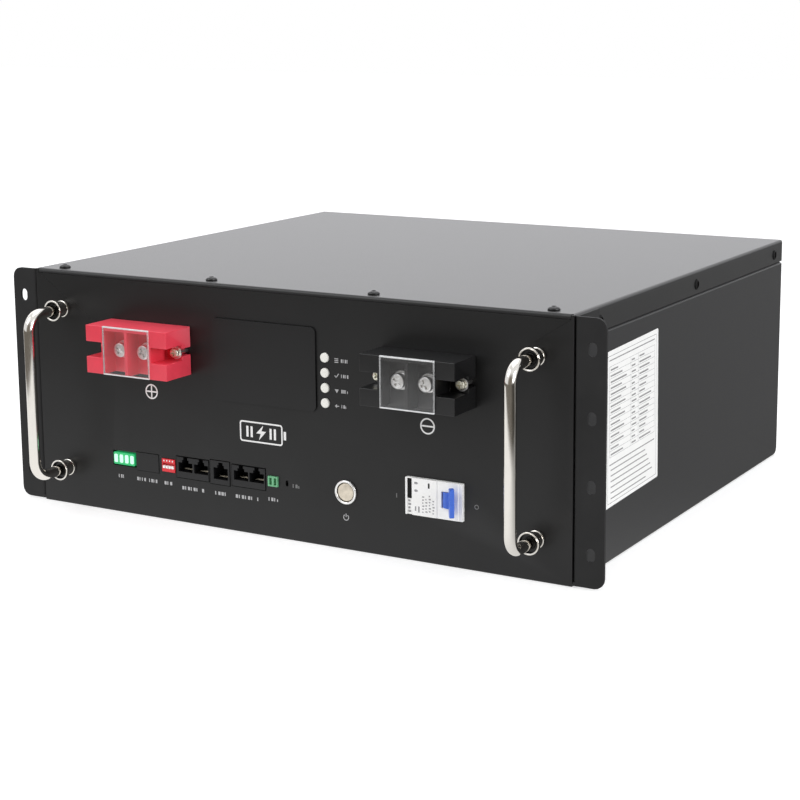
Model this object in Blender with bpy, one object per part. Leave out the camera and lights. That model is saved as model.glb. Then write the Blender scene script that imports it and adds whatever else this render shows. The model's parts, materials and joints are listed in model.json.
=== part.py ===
"""Server rack battery: a 4U, 19-inch lithium iron phosphate battery in a folded steel case.

World frame: +X to the right seen from the front, +Y to the rear, +Z up. The origin is the centre
of the underside of the case. Every length is in metres; MM turns a millimetre value into metres.
Pieces on the front panel are described by how far they stand ahead of its outer face, and
ahead() turns that distance into a world Y.
"""
import math

import bmesh
import bpy
from mathutils import Matrix, Vector

MM = 0.001
GAP = 0.3 * MM                      # clearance between neighbouring pieces

# Case
DEPTH = 395 * MM                    # outer face of the front panel to the rear skirt of the lid
HEIGHT = 177 * MM
FRONT = -DEPTH / 2                  # world Y of the front panel's outer face
SHEET = 1.5 * MM                    # steel of the chassis and the lid
BEND = 2 * MM                       # outer radius of a fold
LID_HALF = 219 * MM
SKIRT = 17 * MM                     # how far the lid's skirts reach down
LIP = 3 * MM                        # how far the lid's front edge turns down
CASE_HALF = LID_HALF                # the walls stand flush with the skirts
CASE_REAR = DEPTH / 2
CASE_TOP = HEIGHT - SHEET - GAP
JOGGLE = SHEET + GAP                # step inwards that lets the skirts sit flush
JOGGLE_Z = HEIGHT - SKIRT - 2 * MM
HEEL = 6 * MM                       # radius of the fold between the base and the rear wall

# Front panel
PANEL = 2 * MM
PANEL_HALF = LID_HALF
PANEL_TOP = HEIGHT - LIP - GAP
HORN = 0.4 * MM                     # how far the panel's upper corners stay below the lid's top
FLANGE = 20 * MM                    # top flange that takes the lid's front screws
FLANGE_WEB = 3 * MM

# Rack ears
RACK_HALF = 241.3 * MM              # half of 19 inches
EAR = 2 * MM
EAR_BEND = 2.8 * MM
EAR_FOOT = 0.8 * MM
EAR_TOP = 176.2 * MM
EAR_CORNER = 7 * MM
EAR_LEG = 33 * MM
EAR_FOOT_H = 2.4 * MM
EAR_INNER = LID_HALF + 0.4 * MM
SLOT_X = 231.8 * MM
SLOT_W = 6 * MM
SLOT_H = 9.2 * MM
SLOT_HEIGHTS = [z * MM for z in (22.7, 67.1, 111.5, 155.9)]

# Handles
HANDLE_X = 194 * MM
HANDLE_LOW = 28.5 * MM
HANDLE_HIGH = 148.5 * MM
HANDLE_REACH = 38.5 * MM            # panel face to the axis of the grip
HANDLE_R = 4 * MM
HANDLE_BEND = 12 * MM
FERRULE_R = 8 * MM
FERRULE_H = 13.2 * MM

# Lid screws
LID_SCREW_R = 1.8 * MM
LID_SCREW_FOOT = -7 * MM
LID_SCREW_SEAT = 0.2 * MM
LID_SCREW_HEAD = 4.2 * MM
LID_SCREW_RISE = 2.6 * MM
SIDE_SCREW_HEAD = 3.9 * MM
SIDE_SCREW_RISE = 1 * MM
LID_FRONT_XS = [x * MM for x in (-200, -66.7, 66.7, 200)]
LID_FRONT_INSET = 10.5 * MM
LID_SIDE_YS = [FRONT + y * MM for y in (40, 207.5, 375)]
LID_SIDE_Z = 167 * MM

# Terminal blocks
BLOCK_X = 114.2 * MM
BLOCK_Z = 127.3 * MM
BLOCK_W = 71 * MM
BLOCK_H = 34.6 * MM
BLOCK_D = 29 * MM
BAY_W = 18.4 * MM
BAY_FLOOR = 16 * MM
BAY_TOP_WALL = 3 * MM
DIVIDER = 2.4 * MM
STUD_X = 10.3 * MM                  # terminal screw, either side of the block's centre
EAR_RECESS = 13.6 * MM
EAR_RECESS_H = 11 * MM
EAR_LEVEL = 10.2 * MM
LUG_SLOT = 5.4 * MM
BLOCK_SCREW_X = BLOCK_W / 2 - 4.6 * MM
BLOCK_OPENING = (30 * MM, 17 * MM)
BAR_CAVITY = (38.8 * MM, 22 * MM, 12.2 * MM)
STUD_R = 2.7 * MM
STUD_WASHER = 6.4 * MM
STUD_COLLAR = 4.6 * MM
STUD_HEAD = 5.2 * MM
STUD_LEVELS = [h * MM for h in (17.5, 19.5, 23.2)]      # washer, collar and head, from the panel
FIXING_R = 1.9 * MM
FIXING_WASHER = 4.6 * MM
FIXING_HEAD = 3.5 * MM
FIXING_LEVELS = [h * MM for h in (11.5, 14.4)]          # washer and head, from the panel
COVER_W = 41.4 * MM
COVER_H = 34.8 * MM
COVER_LOW = -BLOCK_H / 2 + 0.3 * MM
COVER_T = 1.4 * MM
CLIP = (1 * MM, 9 * MM, 7 * MM)     # thickness, height and reach of a cover's leg

# Display and menu keys
WINDOW = (-59 * MM, 26.5 * MM, 94.5 * MM, 152.6 * MM)
WINDOW_CORNER = 3.6 * MM
WINDOW_PROUD = 1.2 * MM
KEY_X = 33.7 * MM
KEY_HEIGHTS = [z * MM for z in (132.6, 122.1, 111.6, 101.1)]
KEY_R = 3.35 * MM
KEY_FLANGE = 4.3 * MM
KEY_PROUD = 1.2 * MM

# Power button
POWER = (49.5 * MM, 40.6 * MM)
POWER_RIM = 8.5 * MM
POWER_BARREL = 7.8 * MM
POWER_CAP = 6.5 * MM

# Circuit breaker, mounted sideways
BREAKER = (119.2 * MM, 45.4 * MM)
NOSE_W = 43 * MM
NOSE_H = 25.5 * MM
NOSE_PROUD = 3 * MM
BREAKER_W = 82 * MM
BREAKER_D = 60 * MM
TOGGLE_X = 129.5 * MM
TOGGLE_Z = 45.9 * MM
TOGGLE_LEAN = math.radians(38)      # lean of the lever at OFF, to the right of the panel's normal
TOGGLE_HUB = 4.2 * MM
TOGGLE_W = 10.6 * MM
PADDLE_W = 19.8 * MM
PADDLE_FROM = 6.6 * MM
PADDLE_TO = 11.8 * MM
PADDLE_T = 3 * MM

# Signal row
ROW_Z = 40.5 * MM
LED_BAR = (-151.6 * MM, -132.1 * MM, 36 * MM, 45.4 * MM)
LED_MARGIN = 0.9 * MM               # dark gap round the light bar
LED_WINDOW = (-130.8 * MM, -110.6 * MM, 33.8 * MM, 47.2 * MM)
DIP = (-107.2 * MM, -95.8 * MM, 35.8 * MM, 45.4 * MM)
DIP_PITCH = 2.54 * MM
DIP_POCKET = (10.4 * MM, 4 * MM)
DIP_LEVER = (1.8 * MM, 2 * MM)
PORTS = {                           # housing rectangle and the centres of its sockets
    "port_can": ((-94.4 * MM, -66 * MM, 33 * MM, 48.4 * MM), (-86.4 * MM, -72.6 * MM), 6.7 * MM),
    "port_rs485": ((-64.4 * MM, -47.7 * MM, 32.2 * MM, 49.4 * MM), (-55.4 * MM,), 8.4 * MM),
    "port_link": ((-45.6 * MM, -17.2 * MM, 33 * MM, 48.4 * MM), (-37.8 * MM, -24.4 * MM), 6.7 * MM),
}
PORT_GAP = 0.5 * MM
PORT_PROUD = 0.5 * MM
PORT_DEPTH = 14 * MM
SOCKET_W = 12.2 * MM
SOCKET_DEPTH = 12 * MM
SOCKET_SHOULDER_Z = 44.3 * MM
LATCH = ((2.9 * MM, 2 * MM), (1.8 * MM, 3.9 * MM))      # half widths and tops of the two steps
DRY = (-14.4 * MM, -6.4 * MM, 36.9 * MM, 44.1 * MM)
DRY_SLOTS = (-12.1 * MM, -8.3 * MM)
RESET = (0.8 * MM, 40.3 * MM)
RESET_HOLE = (2.2 * MM, 4.4 * MM)
RESET_PIN = 0.9 * MM
RESET_SUNK = 2.2 * MM

# Boards, cells and bars inside the case
BOARD = 1.6 * MM
BOARD_BEHIND = 14.4 * MM            # front of the interface board behind the panel's outer face
CELL_T = 36 * MM
CELL_W = 200 * MM
CELL_H = 130 * MM
CELLS_IN_STACK = 8
STACK_GAP = 15 * MM                 # half of the wiring gap between the two stacks
BAR_W = 20 * MM
BAR_T = 3 * MM

CLOCK = 24                          # sides of a large round piece
SMALL = 12                          # sides of a small hole or shank


def ahead(distance):
    """World Y of a point that stands this far in front of the panel."""
    return FRONT - distance


def clear_scene():
    for obj in list(bpy.data.objects):
        bpy.data.objects.remove(obj, do_unlink=True)


def material(name, colour, roughness, metallic=0.0, alpha=1.0):
    mat = bpy.data.materials.get(name) or bpy.data.materials.new(name)
    mat.use_nodes = True
    shader = mat.node_tree.nodes["Principled BSDF"]
    shader.inputs["Base Color"].default_value = (*colour, 1)
    shader.inputs["Roughness"].default_value = roughness
    shader.inputs["Metallic"].default_value = metallic
    shader.inputs["Alpha"].default_value = alpha
    mat.diffuse_color = (*colour, alpha)
    return mat


# Outlines: lists of (u, v) points, anticlockwise

def rectangle(u0, u1, v0, v1):
    return [(u0, v0), (u1, v0), (u1, v1), (u0, v1)]


def arc(centre, radius, start, end, steps):
    """Points along an arc, from one angle in degrees to another."""
    points = []
    for i in range(steps + 1):
        angle = math.radians(start + (end - start) * i / steps)
        points.append((centre[0] + radius * math.cos(angle), centre[1] + radius * math.sin(angle)))
    return points


def circle(centre, radius, sides=SMALL):
    return arc(centre, radius, 0, 360, sides)[:-1]


def rounded(u0, u1, v0, v1, radius, steps=4):
    corners = [((u1 - radius, v0 + radius), -90), ((u1 - radius, v1 - radius), 0),
               ((u0 + radius, v1 - radius), 90), ((u0 + radius, v0 + radius), 180)]
    return [p for centre, start in corners for p in arc(centre, radius, start, start + 90, steps)]


def widened(limits, margin):
    u0, u1, v0, v1 = limits
    return u0 - margin, u1 + margin, v0 - margin, v1 + margin


def obround(centre, width, height, steps=6):
    """An upright slot with round ends."""
    radius = width / 2
    rise = height / 2 - radius
    upper = arc((centre[0], centre[1] + rise), radius, 0, 180, steps)
    lower = arc((centre[0], centre[1] - rise), radius, 180, 360, steps)
    return upper + lower


# Solids

def add_box(bm, x0, x1, y0, y1, z0, z1):
    size = Matrix.Diagonal((x1 - x0, y1 - y0, z1 - z0, 1))
    centre = Matrix.Translation(((x0 + x1) / 2, (y0 + y1) / 2, (z0 + z1) / 2))
    bmesh.ops.create_cube(bm, size=1, matrix=centre @ size)


def box(*limits):
    bm = bmesh.new()
    add_box(bm, *limits)
    return bm


def prism(outline, low, high, along="y", holes=()):
    """An outline, with holes if any, extruded between two levels along one axis."""
    bm = bmesh.new()
    for loop in (outline, *holes):
        verts = [bm.verts.new((u, v, 0)) for u, v in loop]
        for a, b in zip(verts, verts[1:] + verts[:1]):
            bm.edges.new((a, b))
    bmesh.ops.triangle_fill(bm, use_beauty=True, edges=bm.edges[:], normal=(0, 0, 1))
    side = bmesh.ops.extrude_face_region(bm, geom=bm.faces[:])
    top = [v for v in side["geom"] if isinstance(v, bmesh.types.BMVert)]
    bmesh.ops.translate(bm, verts=top, vec=(0, 0, high - low))
    turn = {
        "z": Matrix.Identity(3),
        "y": Matrix(((1, 0, 0), (0, 0, 1), (0, 1, 0))),
        "x": Matrix(((0, 0, 1), (1, 0, 0), (0, 1, 0))),
    }[along]
    shift = {"z": (0, 0, low), "y": (0, low, 0), "x": (low, 0, 0)}[along]
    bmesh.ops.transform(bm, matrix=turn.to_4x4(), verts=bm.verts[:])
    bmesh.ops.translate(bm, verts=bm.verts[:], vec=shift)
    bmesh.ops.recalc_face_normals(bm, faces=bm.faces[:])
    return bm


def turned(profile, sides=CLOCK, closed=False):
    """A lathed solid about +Z from (radius, height) points; a closed profile leaves a bore."""
    bm = bmesh.new()
    rings = []
    for radius, height in profile:
        if radius == 0:
            rings.append([bm.verts.new((0, 0, height))])
            continue
        ring = []
        for i in range(sides):
            angle = 2 * math.pi * i / sides
            ring.append(bm.verts.new((radius * math.cos(angle), radius * math.sin(angle), height)))
        rings.append(ring)
    pairs = list(zip(rings, rings[1:]))
    if closed:
        pairs.append((rings[-1], rings[0]))
    for lower, upper in pairs:
        for i in range(sides):
            j = (i + 1) % sides
            if len(lower) == 1:
                bm.faces.new((lower[0], upper[j], upper[i]))
            elif len(upper) == 1:
                bm.faces.new((lower[i], lower[j], upper[0]))
            else:
                bm.faces.new((lower[i], lower[j], upper[j], upper[i]))
    bmesh.ops.recalc_face_normals(bm, faces=bm.faces[:])
    return bm


def swept(path, radius, sides=16):
    """A round bar along a path that stays in a plane of constant X."""
    bm = bmesh.new()
    across = Vector((1, 0, 0))
    rings = []
    for i, point in enumerate(path):
        before = path[max(i - 1, 0)]
        after = path[min(i + 1, len(path) - 1)]
        normal = (after - before).normalized().cross(across)
        ring = []
        for k in range(sides):
            angle = 2 * math.pi * k / sides
            offset = across * (radius * math.cos(angle)) + normal * (radius * math.sin(angle))
            ring.append(bm.verts.new(point + offset))
        rings.append(ring)
    for lower, upper in zip(rings, rings[1:]):
        for i in range(sides):
            j = (i + 1) % sides
            bm.faces.new((lower[i], lower[j], upper[j], upper[i]))
    bm.faces.new(rings[0])
    bm.faces.new(rings[-1])
    bmesh.ops.recalc_face_normals(bm, faces=bm.faces[:])
    return bm


def forward(bm):
    """Turns a solid that was lathed about +Z so that it points out of the front panel."""
    bmesh.ops.rotate(bm, verts=bm.verts[:], matrix=Matrix.Rotation(math.radians(90), 3, "X"))
    return bm


def mesh_from(bm, name):
    mesh = bpy.data.meshes.new(name)
    bm.to_mesh(mesh)
    bm.free()
    return mesh


def place(name, mesh, mat, location=(0, 0, 0), rotation=(0, 0, 0), smooth=False):
    """Puts a mesh, or a bmesh, in the scene as one named object."""
    if isinstance(mesh, bmesh.types.BMesh):
        mesh = mesh_from(mesh, name)
    if not mesh.materials:
        mesh.materials.append(mat)
    obj = bpy.data.objects.new(name, mesh)
    obj.location = location
    obj.rotation_euler = rotation
    bpy.context.scene.collection.objects.link(obj)
    if smooth:
        mesh.shade_smooth()
        mesh.set_sharp_from_angle(angle=math.radians(35))
    return obj


def boolean(obj, tool, operation):
    """Cuts or joins a bmesh with an object; the hidden tool object stays beside it."""
    index = len(obj.modifiers)
    cutter = place(f"tool_{obj.name}_{index}", tool, obj.data.materials[0])
    cutter.parent = obj
    cutter.hide_render = True
    cutter.display_type = "WIRE"
    mod = obj.modifiers.new(f"{operation.lower()}_{index}", "BOOLEAN")
    mod.object = cutter
    mod.operation = operation
    mod.solver = "EXACT"
    return obj


def cut(obj, tool):
    return boolean(obj, tool, "DIFFERENCE")


def join(obj, tool):
    return boolean(obj, tool, "UNION")


def tools(*parts):
    """Gathers separate cutters into one."""
    bm = bmesh.new()
    for part in parts:
        mesh = mesh_from(part, "tool")
        bm.from_mesh(mesh)
        bpy.data.meshes.remove(mesh)
    return bm


def folded(name, mat, faces, folds):
    """Sheet metal from its outer faces: the folds are rounded, then the sheet gets its thickness."""
    bm = bmesh.new()
    for face in faces:
        bm.faces.new([bm.verts.new(p) for p in face])
    bmesh.ops.remove_doubles(bm, verts=bm.verts[:], dist=0.01 * MM)
    bmesh.ops.recalc_face_normals(bm, faces=bm.faces[:])
    edges = [e for e in bm.edges if len(e.link_faces) == 2 and e.calc_face_angle() > 1]
    bmesh.ops.bevel(bm, geom=edges, offset=BEND, segments=folds, affect="EDGES", profile=0.5)
    obj = place(name, bm, mat, smooth=True)
    solid = obj.modifiers.new("sheet", "SOLIDIFY")
    solid.thickness = SHEET
    solid.offset = -1
    solid.use_even_offset = True
    solid.use_quality_normals = True
    return obj


# Enclosure

def side_holes():
    """Holes for the lid's side screws, through both walls and both skirts."""
    span = LID_HALF + 5 * MM
    holes = []
    for y in LID_SIDE_YS:
        outline = circle((y, LID_SIDE_Z), LID_SCREW_R + GAP)
        holes.append(prism(outline, CASE_HALF - 10 * MM, span, "x"))
        holes.append(prism(outline, -span, -CASE_HALF + 10 * MM, "x"))
    return tools(*holes)


def chassis(steel):
    """Base, two sides and a rear wall from one sheet, stepped inwards where the lid laps over."""
    w = CASE_HALF
    w_in = w - JOGGLE
    y0 = FRONT + PANEL + GAP
    y1 = CASE_REAR
    y1_in = y1 - JOGGLE
    step = JOGGLE_Z
    step_top = JOGGLE_Z + JOGGLE - 0.1 * MM
    heel = arc((y1 - HEEL, HEEL), HEEL, -90, 0, 5)
    faces = [
        [(-w, y0, 0), (-w, y1 - HEEL, 0), (w, y1 - HEEL, 0), (w, y0, 0)],
        [(-w, y1, HEEL), (-w, y1, step), (w, y1, step), (w, y1, HEEL)],
        [(-w, y1, step), (-w_in, y1_in, step_top), (w_in, y1_in, step_top), (w, y1, step)],
        [(-w_in, y1_in, step_top), (-w_in, y1_in, CASE_TOP), (w_in, y1_in, CASE_TOP),
         (w_in, y1_in, step_top)],
    ]
    for (ya, za), (yb, zb) in zip(heel, heel[1:]):
        faces.append([(-w, ya, za), (-w, yb, zb), (w, yb, zb), (w, ya, za)])
    for side in (-1, 1):
        x = side * w
        x_in = side * w_in
        faces.append([(x, y0, 0)] + [(x, y, z) for y, z in heel] + [(x, y1, step), (x, y0, step)])
        faces.append([(x, y0, step), (x, y1, step), (x_in, y1_in, step_top), (x_in, y0, step_top)])
        faces.append([(x_in, y0, step_top), (x_in, y1_in, step_top), (x_in, y1_in, CASE_TOP),
                      (x_in, y0, CASE_TOP)])
    obj = folded("chassis", steel, faces, 3)
    cut(obj, side_holes())


def lid_notch():
    """Half width of the lid's front lip, which stops short of the side folds."""
    return LID_HALF - BEND - 0.4 * MM


def lid(steel):
    w = LID_HALF
    lip = lid_notch()
    y0 = FRONT + PANEL + GAP
    y1 = DEPTH / 2
    low = HEIGHT - SKIRT
    top = HEIGHT
    faces = [
        [(-w, y0, top), (-lip, y0, top), (lip, y0, top), (w, y0, top), (w, y1, top), (-w, y1, top)],
        [(-lip, FRONT, top), (lip, FRONT, top), (lip, y0, top), (-lip, y0, top)],
        [(-lip, FRONT, top - LIP), (lip, FRONT, top - LIP), (lip, FRONT, top), (-lip, FRONT, top)],
        [(-w, y0, low), (-w, y0, top), (-w, y1, top), (-w, y1, low)],
        [(w, y0, low), (w, y1, low), (w, y1, top), (w, y0, top)],
        [(-w, y1, low), (-w, y1, top), (w, y1, top), (w, y1, low)],
    ]
    obj = folded("lid", steel, faces, 3)
    cut(obj, front_screw_holes())
    cut(obj, side_holes())


def front_screw_holes():
    y = FRONT + LID_FRONT_INSET
    outlines = [circle((x, y), LID_SCREW_R + GAP) for x in LID_FRONT_XS]
    return tools(*[prism(outline, HEIGHT - 6 * MM, HEIGHT + 5 * MM, "z") for outline in outlines])


def panel_holes():
    """Every cut-out in the front panel, each with clearance round its piece."""
    def around(limits, radius=0.0):
        u0, u1, v0, v1 = limits
        if radius:
            return rounded(u0 - GAP, u1 + GAP, v0 - GAP, v1 + GAP, radius + GAP)
        return rectangle(u0 - GAP, u1 + GAP, v0 - GAP, v1 + GAP)

    def about(centre, width, height):
        half_w = width / 2
        half_h = height / 2
        return around((centre[0] - half_w, centre[0] + half_w, centre[1] - half_h, centre[1] + half_h))

    holes = [around(WINDOW, WINDOW_CORNER), about(BREAKER, NOSE_W, NOSE_H)]
    holes += [around(limits) for limits in (LED_WINDOW, DIP, DRY)]
    holes.append(around(widened(LED_BAR, LED_MARGIN - GAP)))
    holes += [around(widened(PORTS[name][0], PORT_GAP - GAP)) for name in PORTS]
    holes += [circle((KEY_X, z), KEY_R + GAP, 16) for z in KEY_HEIGHTS]
    holes.append(circle(POWER, POWER_BARREL + GAP, CLOCK))
    holes.append(obround(RESET, *RESET_HOLE, 4))
    for side in (-1, 1):
        holes.append(about((side * BLOCK_X, BLOCK_Z), *BLOCK_OPENING))
        for end in (-1, 1):
            holes.append(circle((side * BLOCK_X + end * BLOCK_SCREW_X, BLOCK_Z), 2.2 * MM))
    return holes


def front_panel(steel):
    """Flat plate whose upper corners fill the lid's notches, with a stepped flange along the top."""
    w = PANEL_HALF
    neck = lid_notch() + GAP
    tip = HEIGHT - HORN
    outline = [(-w, 0), (w, 0), (w, tip), (neck, tip), (neck, PANEL_TOP), (-neck, PANEL_TOP),
               (-neck, tip), (-w, tip)]
    obj = place("front_panel", prism(outline, FRONT, FRONT + PANEL, "y", panel_holes()), steel)
    web = FRONT + PANEL / 2
    behind_lip = FRONT + SHEET + GAP
    under_lid = HEIGHT - SHEET - GAP
    profile = [(web, PANEL_TOP - FLANGE_WEB), (web + FLANGE_WEB, PANEL_TOP - FLANGE_WEB),
               (web + FLANGE_WEB, under_lid - PANEL), (FRONT + FLANGE, under_lid - PANEL),
               (FRONT + FLANGE, under_lid), (behind_lip, under_lid), (behind_lip, PANEL_TOP),
               (web, PANEL_TOP)]
    span = CASE_HALF - JOGGLE - SHEET - GAP
    join(obj, prism(profile, -span, span, "x"))
    cut(obj, front_screw_holes())


def rack_ear(name, side, steel):
    """An angle bracket: slotted flange, rounded fold, leg along the case and a small foot."""
    inner = EAR_INNER
    edge = inner + EAR_BEND
    lap = edge + 0.5 * MM
    corners = [((RACK_HALF - EAR_CORNER, EAR_FOOT + EAR_CORNER), -90),
               ((RACK_HALF - EAR_CORNER, EAR_TOP - EAR_CORNER), 0)]
    flange = [(edge, EAR_FOOT)]
    for centre, start in corners:
        flange += arc(centre, EAR_CORNER, start, start + 90, 4)
    flange.append((edge, EAR_TOP))
    slots = [obround((SLOT_X, z), SLOT_W, SLOT_H) for z in SLOT_HEIGHTS]
    plate = prism(flange, FRONT, FRONT + EAR, "y", slots)
    middle = (edge, FRONT + EAR_BEND)
    fold = arc(middle, EAR_BEND, 180, 270, 4) + [(lap, FRONT), (lap, FRONT + EAR)]
    fold += arc(middle, EAR_BEND - EAR, 270, 180, 2)
    fold += [(inner + EAR, FRONT + EAR_LEG), (inner, FRONT + EAR_LEG)]
    leg = prism(fold, EAR_FOOT, EAR_TOP, "z")
    foot = box(inner, edge + 1 * MM, FRONT, FRONT + EAR, EAR_FOOT, EAR_FOOT + EAR_FOOT_H)
    solids = [plate, leg, foot]
    if side < 0:
        for solid in solids:
            bmesh.ops.scale(solid, vec=(-1, 1, 1), verts=solid.verts[:])
            bmesh.ops.reverse_faces(solid, faces=solid.faces[:])
    obj = place(name, plate, steel)
    join(obj, leg)
    join(obj, foot)


def handle_path():
    """Centre line of the bar in its own frame: foot at the origin, pointing out along -Y."""
    span = HANDLE_HIGH - HANDLE_LOW
    reach = HANDLE_REACH
    bend = HANDLE_BEND
    lower = arc((-reach + bend, bend), bend, 270, 180, 6)
    upper = arc((-reach + bend, span - bend), bend, 180, 90, 6)
    points = [(-GAP, 0)] + lower + upper + [(-GAP, span)]
    return [Vector((0, y, z)) for y, z in points]


def handles(steel):
    bar = mesh_from(swept(handle_path(), HANDLE_R), "handle")
    bore = HANDLE_R + GAP
    rim = FERRULE_R
    profile = [
        (bore, GAP), (6.2 * MM, GAP), (6.2 * MM, 3.2 * MM), (5.4 * MM, 4 * MM), (5.4 * MM, 9.4 * MM),
        (rim - 0.8 * MM, 10.4 * MM), (rim, 11.2 * MM), (rim, FERRULE_H - 0.4 * MM),
        (rim - 0.4 * MM, FERRULE_H), (rim - 1.3 * MM, FERRULE_H), (rim - 1.9 * MM, 11 * MM),
        (bore, 11 * MM),
    ]
    ferrule = mesh_from(forward(turned(profile, CLOCK, closed=True)), "ferrule")
    for word, side in (("left", -1), ("right", 1)):
        place(f"handle_{word}", bar, steel, (side * HANDLE_X, FRONT, HANDLE_LOW), smooth=True)
        for level, z in (("lower", HANDLE_LOW), ("upper", HANDLE_HIGH)):
            place(f"ferrule_{word}_{level}", ferrule, steel, (side * HANDLE_X, FRONT, z), smooth=True)


def lid_screws(steel):
    """Four dome-head screws down through the top and three flatter ones in from each side."""
    def screw(name, head, rise):
        seat = LID_SCREW_SEAT
        profile = [(0, LID_SCREW_FOOT), (LID_SCREW_R, LID_SCREW_FOOT), (LID_SCREW_R, seat), (head, seat),
                   (head, seat + 0.25 * rise), (0.82 * head, 0.75 * rise), (0.45 * head, rise), (0, rise)]
        return mesh_from(turned(profile, 16), name)

    dome = screw("lid_screw", LID_SCREW_HEAD, LID_SCREW_RISE)
    flat = screw("side_screw", SIDE_SCREW_HEAD, SIDE_SCREW_RISE)
    for i, x in enumerate(LID_FRONT_XS, 1):
        place(f"lid_screw_front_{i}", dome, steel, (x, FRONT + LID_FRONT_INSET, HEIGHT), smooth=True)
    quarter = math.radians(90)
    for word, side in (("left", -1), ("right", 1)):
        for i, y in enumerate(LID_SIDE_YS, 1):
            spot = (side * LID_HALF, y, LID_SIDE_Z)
            place(f"lid_screw_{word}_{i}", flat, steel, spot, (0, side * quarter, 0), True)


# Terminals

def block_cutters():
    """What is taken out of a block, in turns whose cutters stay apart from each other."""
    deep = BLOCK_D + 1 * MM
    low = -BLOCK_H / 2 - 1 * MM
    half = BLOCK_W / 2
    rise = EAR_RECESS_H / 2
    bays, recesses, slots, holes = [], [], [], []
    for side in (-1, 1):
        x0, x1 = sorted((side * DIVIDER / 2, side * (DIVIDER / 2 + BAY_W)))
        bays.append(box(x0, x1, -deep, -BAY_FLOOR, low, BLOCK_H / 2 - BAY_TOP_WALL))
        x0, x1 = sorted((side * (half - EAR_RECESS), side * (half + 1 * MM)))
        recesses.append(box(x0, x1, -deep, -EAR_LEVEL, -rise, rise))
        x0, x1 = sorted((side * (half - 7.4 * MM), side * (half + 2 * MM)))
        slots.append(box(x0, x1, -EAR_LEVEL - 1 * MM, 1 * MM, -LUG_SLOT / 2, LUG_SLOT / 2))
        hole = circle((side * STUD_X, 0), 3.3 * MM)
        holes.append(prism(hole, -BAY_FLOOR - 1 * MM, -BAY_FLOOR + 5 * MM, "y"))
    wide, tall, deep_in = BAR_CAVITY
    back = box(-wide / 2, wide / 2, -deep_in, 1 * MM, -tall / 2, tall / 2)
    return [tools(*bays, *recesses), tools(*slots, back), tools(*holes)]


def terminal(word, side, plastic, clear, silver, zinc):
    centre = (side * BLOCK_X, FRONT, BLOCK_Z)
    half_w = BLOCK_W / 2
    half_h = BLOCK_H / 2
    block = place(f"terminal_{word}", box(-half_w, half_w, -BLOCK_D, -GAP, -half_h, half_h), plastic, centre)
    for cutter in block_cutters():
        cut(block, cutter)
    back = -BLOCK_D - GAP
    face = box(-COVER_W / 2, COVER_W / 2, back - COVER_T, back, COVER_LOW, COVER_LOW + COVER_H)
    cover = place(f"cover_{word}", face, clear, centre)
    thick, tall, reach = CLIP
    outer = DIVIDER / 2 + BAY_W - GAP
    legs = [box(*sorted((s * outer, s * (outer - thick))), back - COVER_T / 2, back + reach,
                -tall / 2, tall / 2) for s in (-1, 1)]
    join(cover, tools(*legs))
    washer, collar, head = STUD_LEVELS
    seat = BAY_FLOOR + GAP
    round_off = 0.8 * MM
    profile = [(0, 6 * MM), (STUD_R, 6 * MM), (STUD_R, seat), (STUD_WASHER, seat),
               (STUD_WASHER, washer), (STUD_COLLAR, washer), (STUD_COLLAR, collar), (STUD_HEAD, collar),
               (STUD_HEAD, head - round_off), (STUD_HEAD - round_off, head), (0, head)]
    stud = mesh_from(forward(turned(profile, 16)), f"terminal_screw_{word}")
    washer, head = FIXING_LEVELS
    seat = EAR_LEVEL + GAP
    profile = [(0, -6 * MM), (FIXING_R, -6 * MM), (FIXING_R, seat), (FIXING_WASHER, seat),
               (FIXING_WASHER, washer), (FIXING_HEAD, washer), (FIXING_HEAD, head - round_off),
               (FIXING_HEAD - round_off, head), (0, head)]
    fixing = mesh_from(forward(turned(profile, 16)), f"block_screw_{word}")
    for hand, end in (("left", -1), ("right", 1)):
        spot = (centre[0] + end * STUD_X, FRONT, BLOCK_Z)
        place(f"terminal_screw_{word}_{hand}", stud, silver, spot, smooth=True)
        spot = (centre[0] + end * BLOCK_SCREW_X, FRONT, BLOCK_Z)
        place(f"block_screw_{word}_{hand}", fixing, zinc, spot, smooth=True)


def bar_head():
    """Plate behind the block's bays that both terminal screws go through."""
    holes = [circle((s * STUD_X, 0), 3.1 * MM) for s in (-1, 1)]
    outline = rectangle(-19 * MM, 19 * MM, -10 * MM, 10 * MM)
    return prism(outline, -11.8 * MM, -11.8 * MM + BAR_T, "y", holes)


def busbars(copper):
    half = BAR_W / 2 - 3 * MM
    stack_front = CASE_REAR - 4 * MM - CELLS_IN_STACK * CELL_T
    reach = stack_front - 0.6 * MM - FRONT
    obj = place("busbar_positive", bar_head(), copper, (-BLOCK_X, FRONT, BLOCK_Z))
    stem = rectangle(-10 * MM, reach, -BAR_T / 2, BAR_T / 2)
    foot = rectangle(reach - BAR_T, reach, -28 * MM, BAR_T / 2)
    join(obj, prism(stem, -half, half, "x"))
    join(obj, prism(foot, -half, half, "x"))
    obj = place("busbar_negative", bar_head(), copper, (BLOCK_X, FRONT, BLOCK_Z))
    reach = 34 * MM
    drop = BREAKER[1] + NOSE_H / 2 + 0.6 * MM - BLOCK_Z
    stem = rectangle(-10 * MM, reach, -BAR_T / 2, BAR_T / 2)
    foot = rectangle(reach - BAR_T, reach, drop, BAR_T / 2)
    join(obj, prism(stem, -half, half, "x"))
    join(obj, prism(foot, -half, half, "x"))


# Display, keys and power button

def display(lens):
    outline = rounded(*WINDOW, WINDOW_CORNER)
    place("display_window", prism(outline, ahead(WINDOW_PROUD), ahead(-PANEL), "y"), lens)


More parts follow.
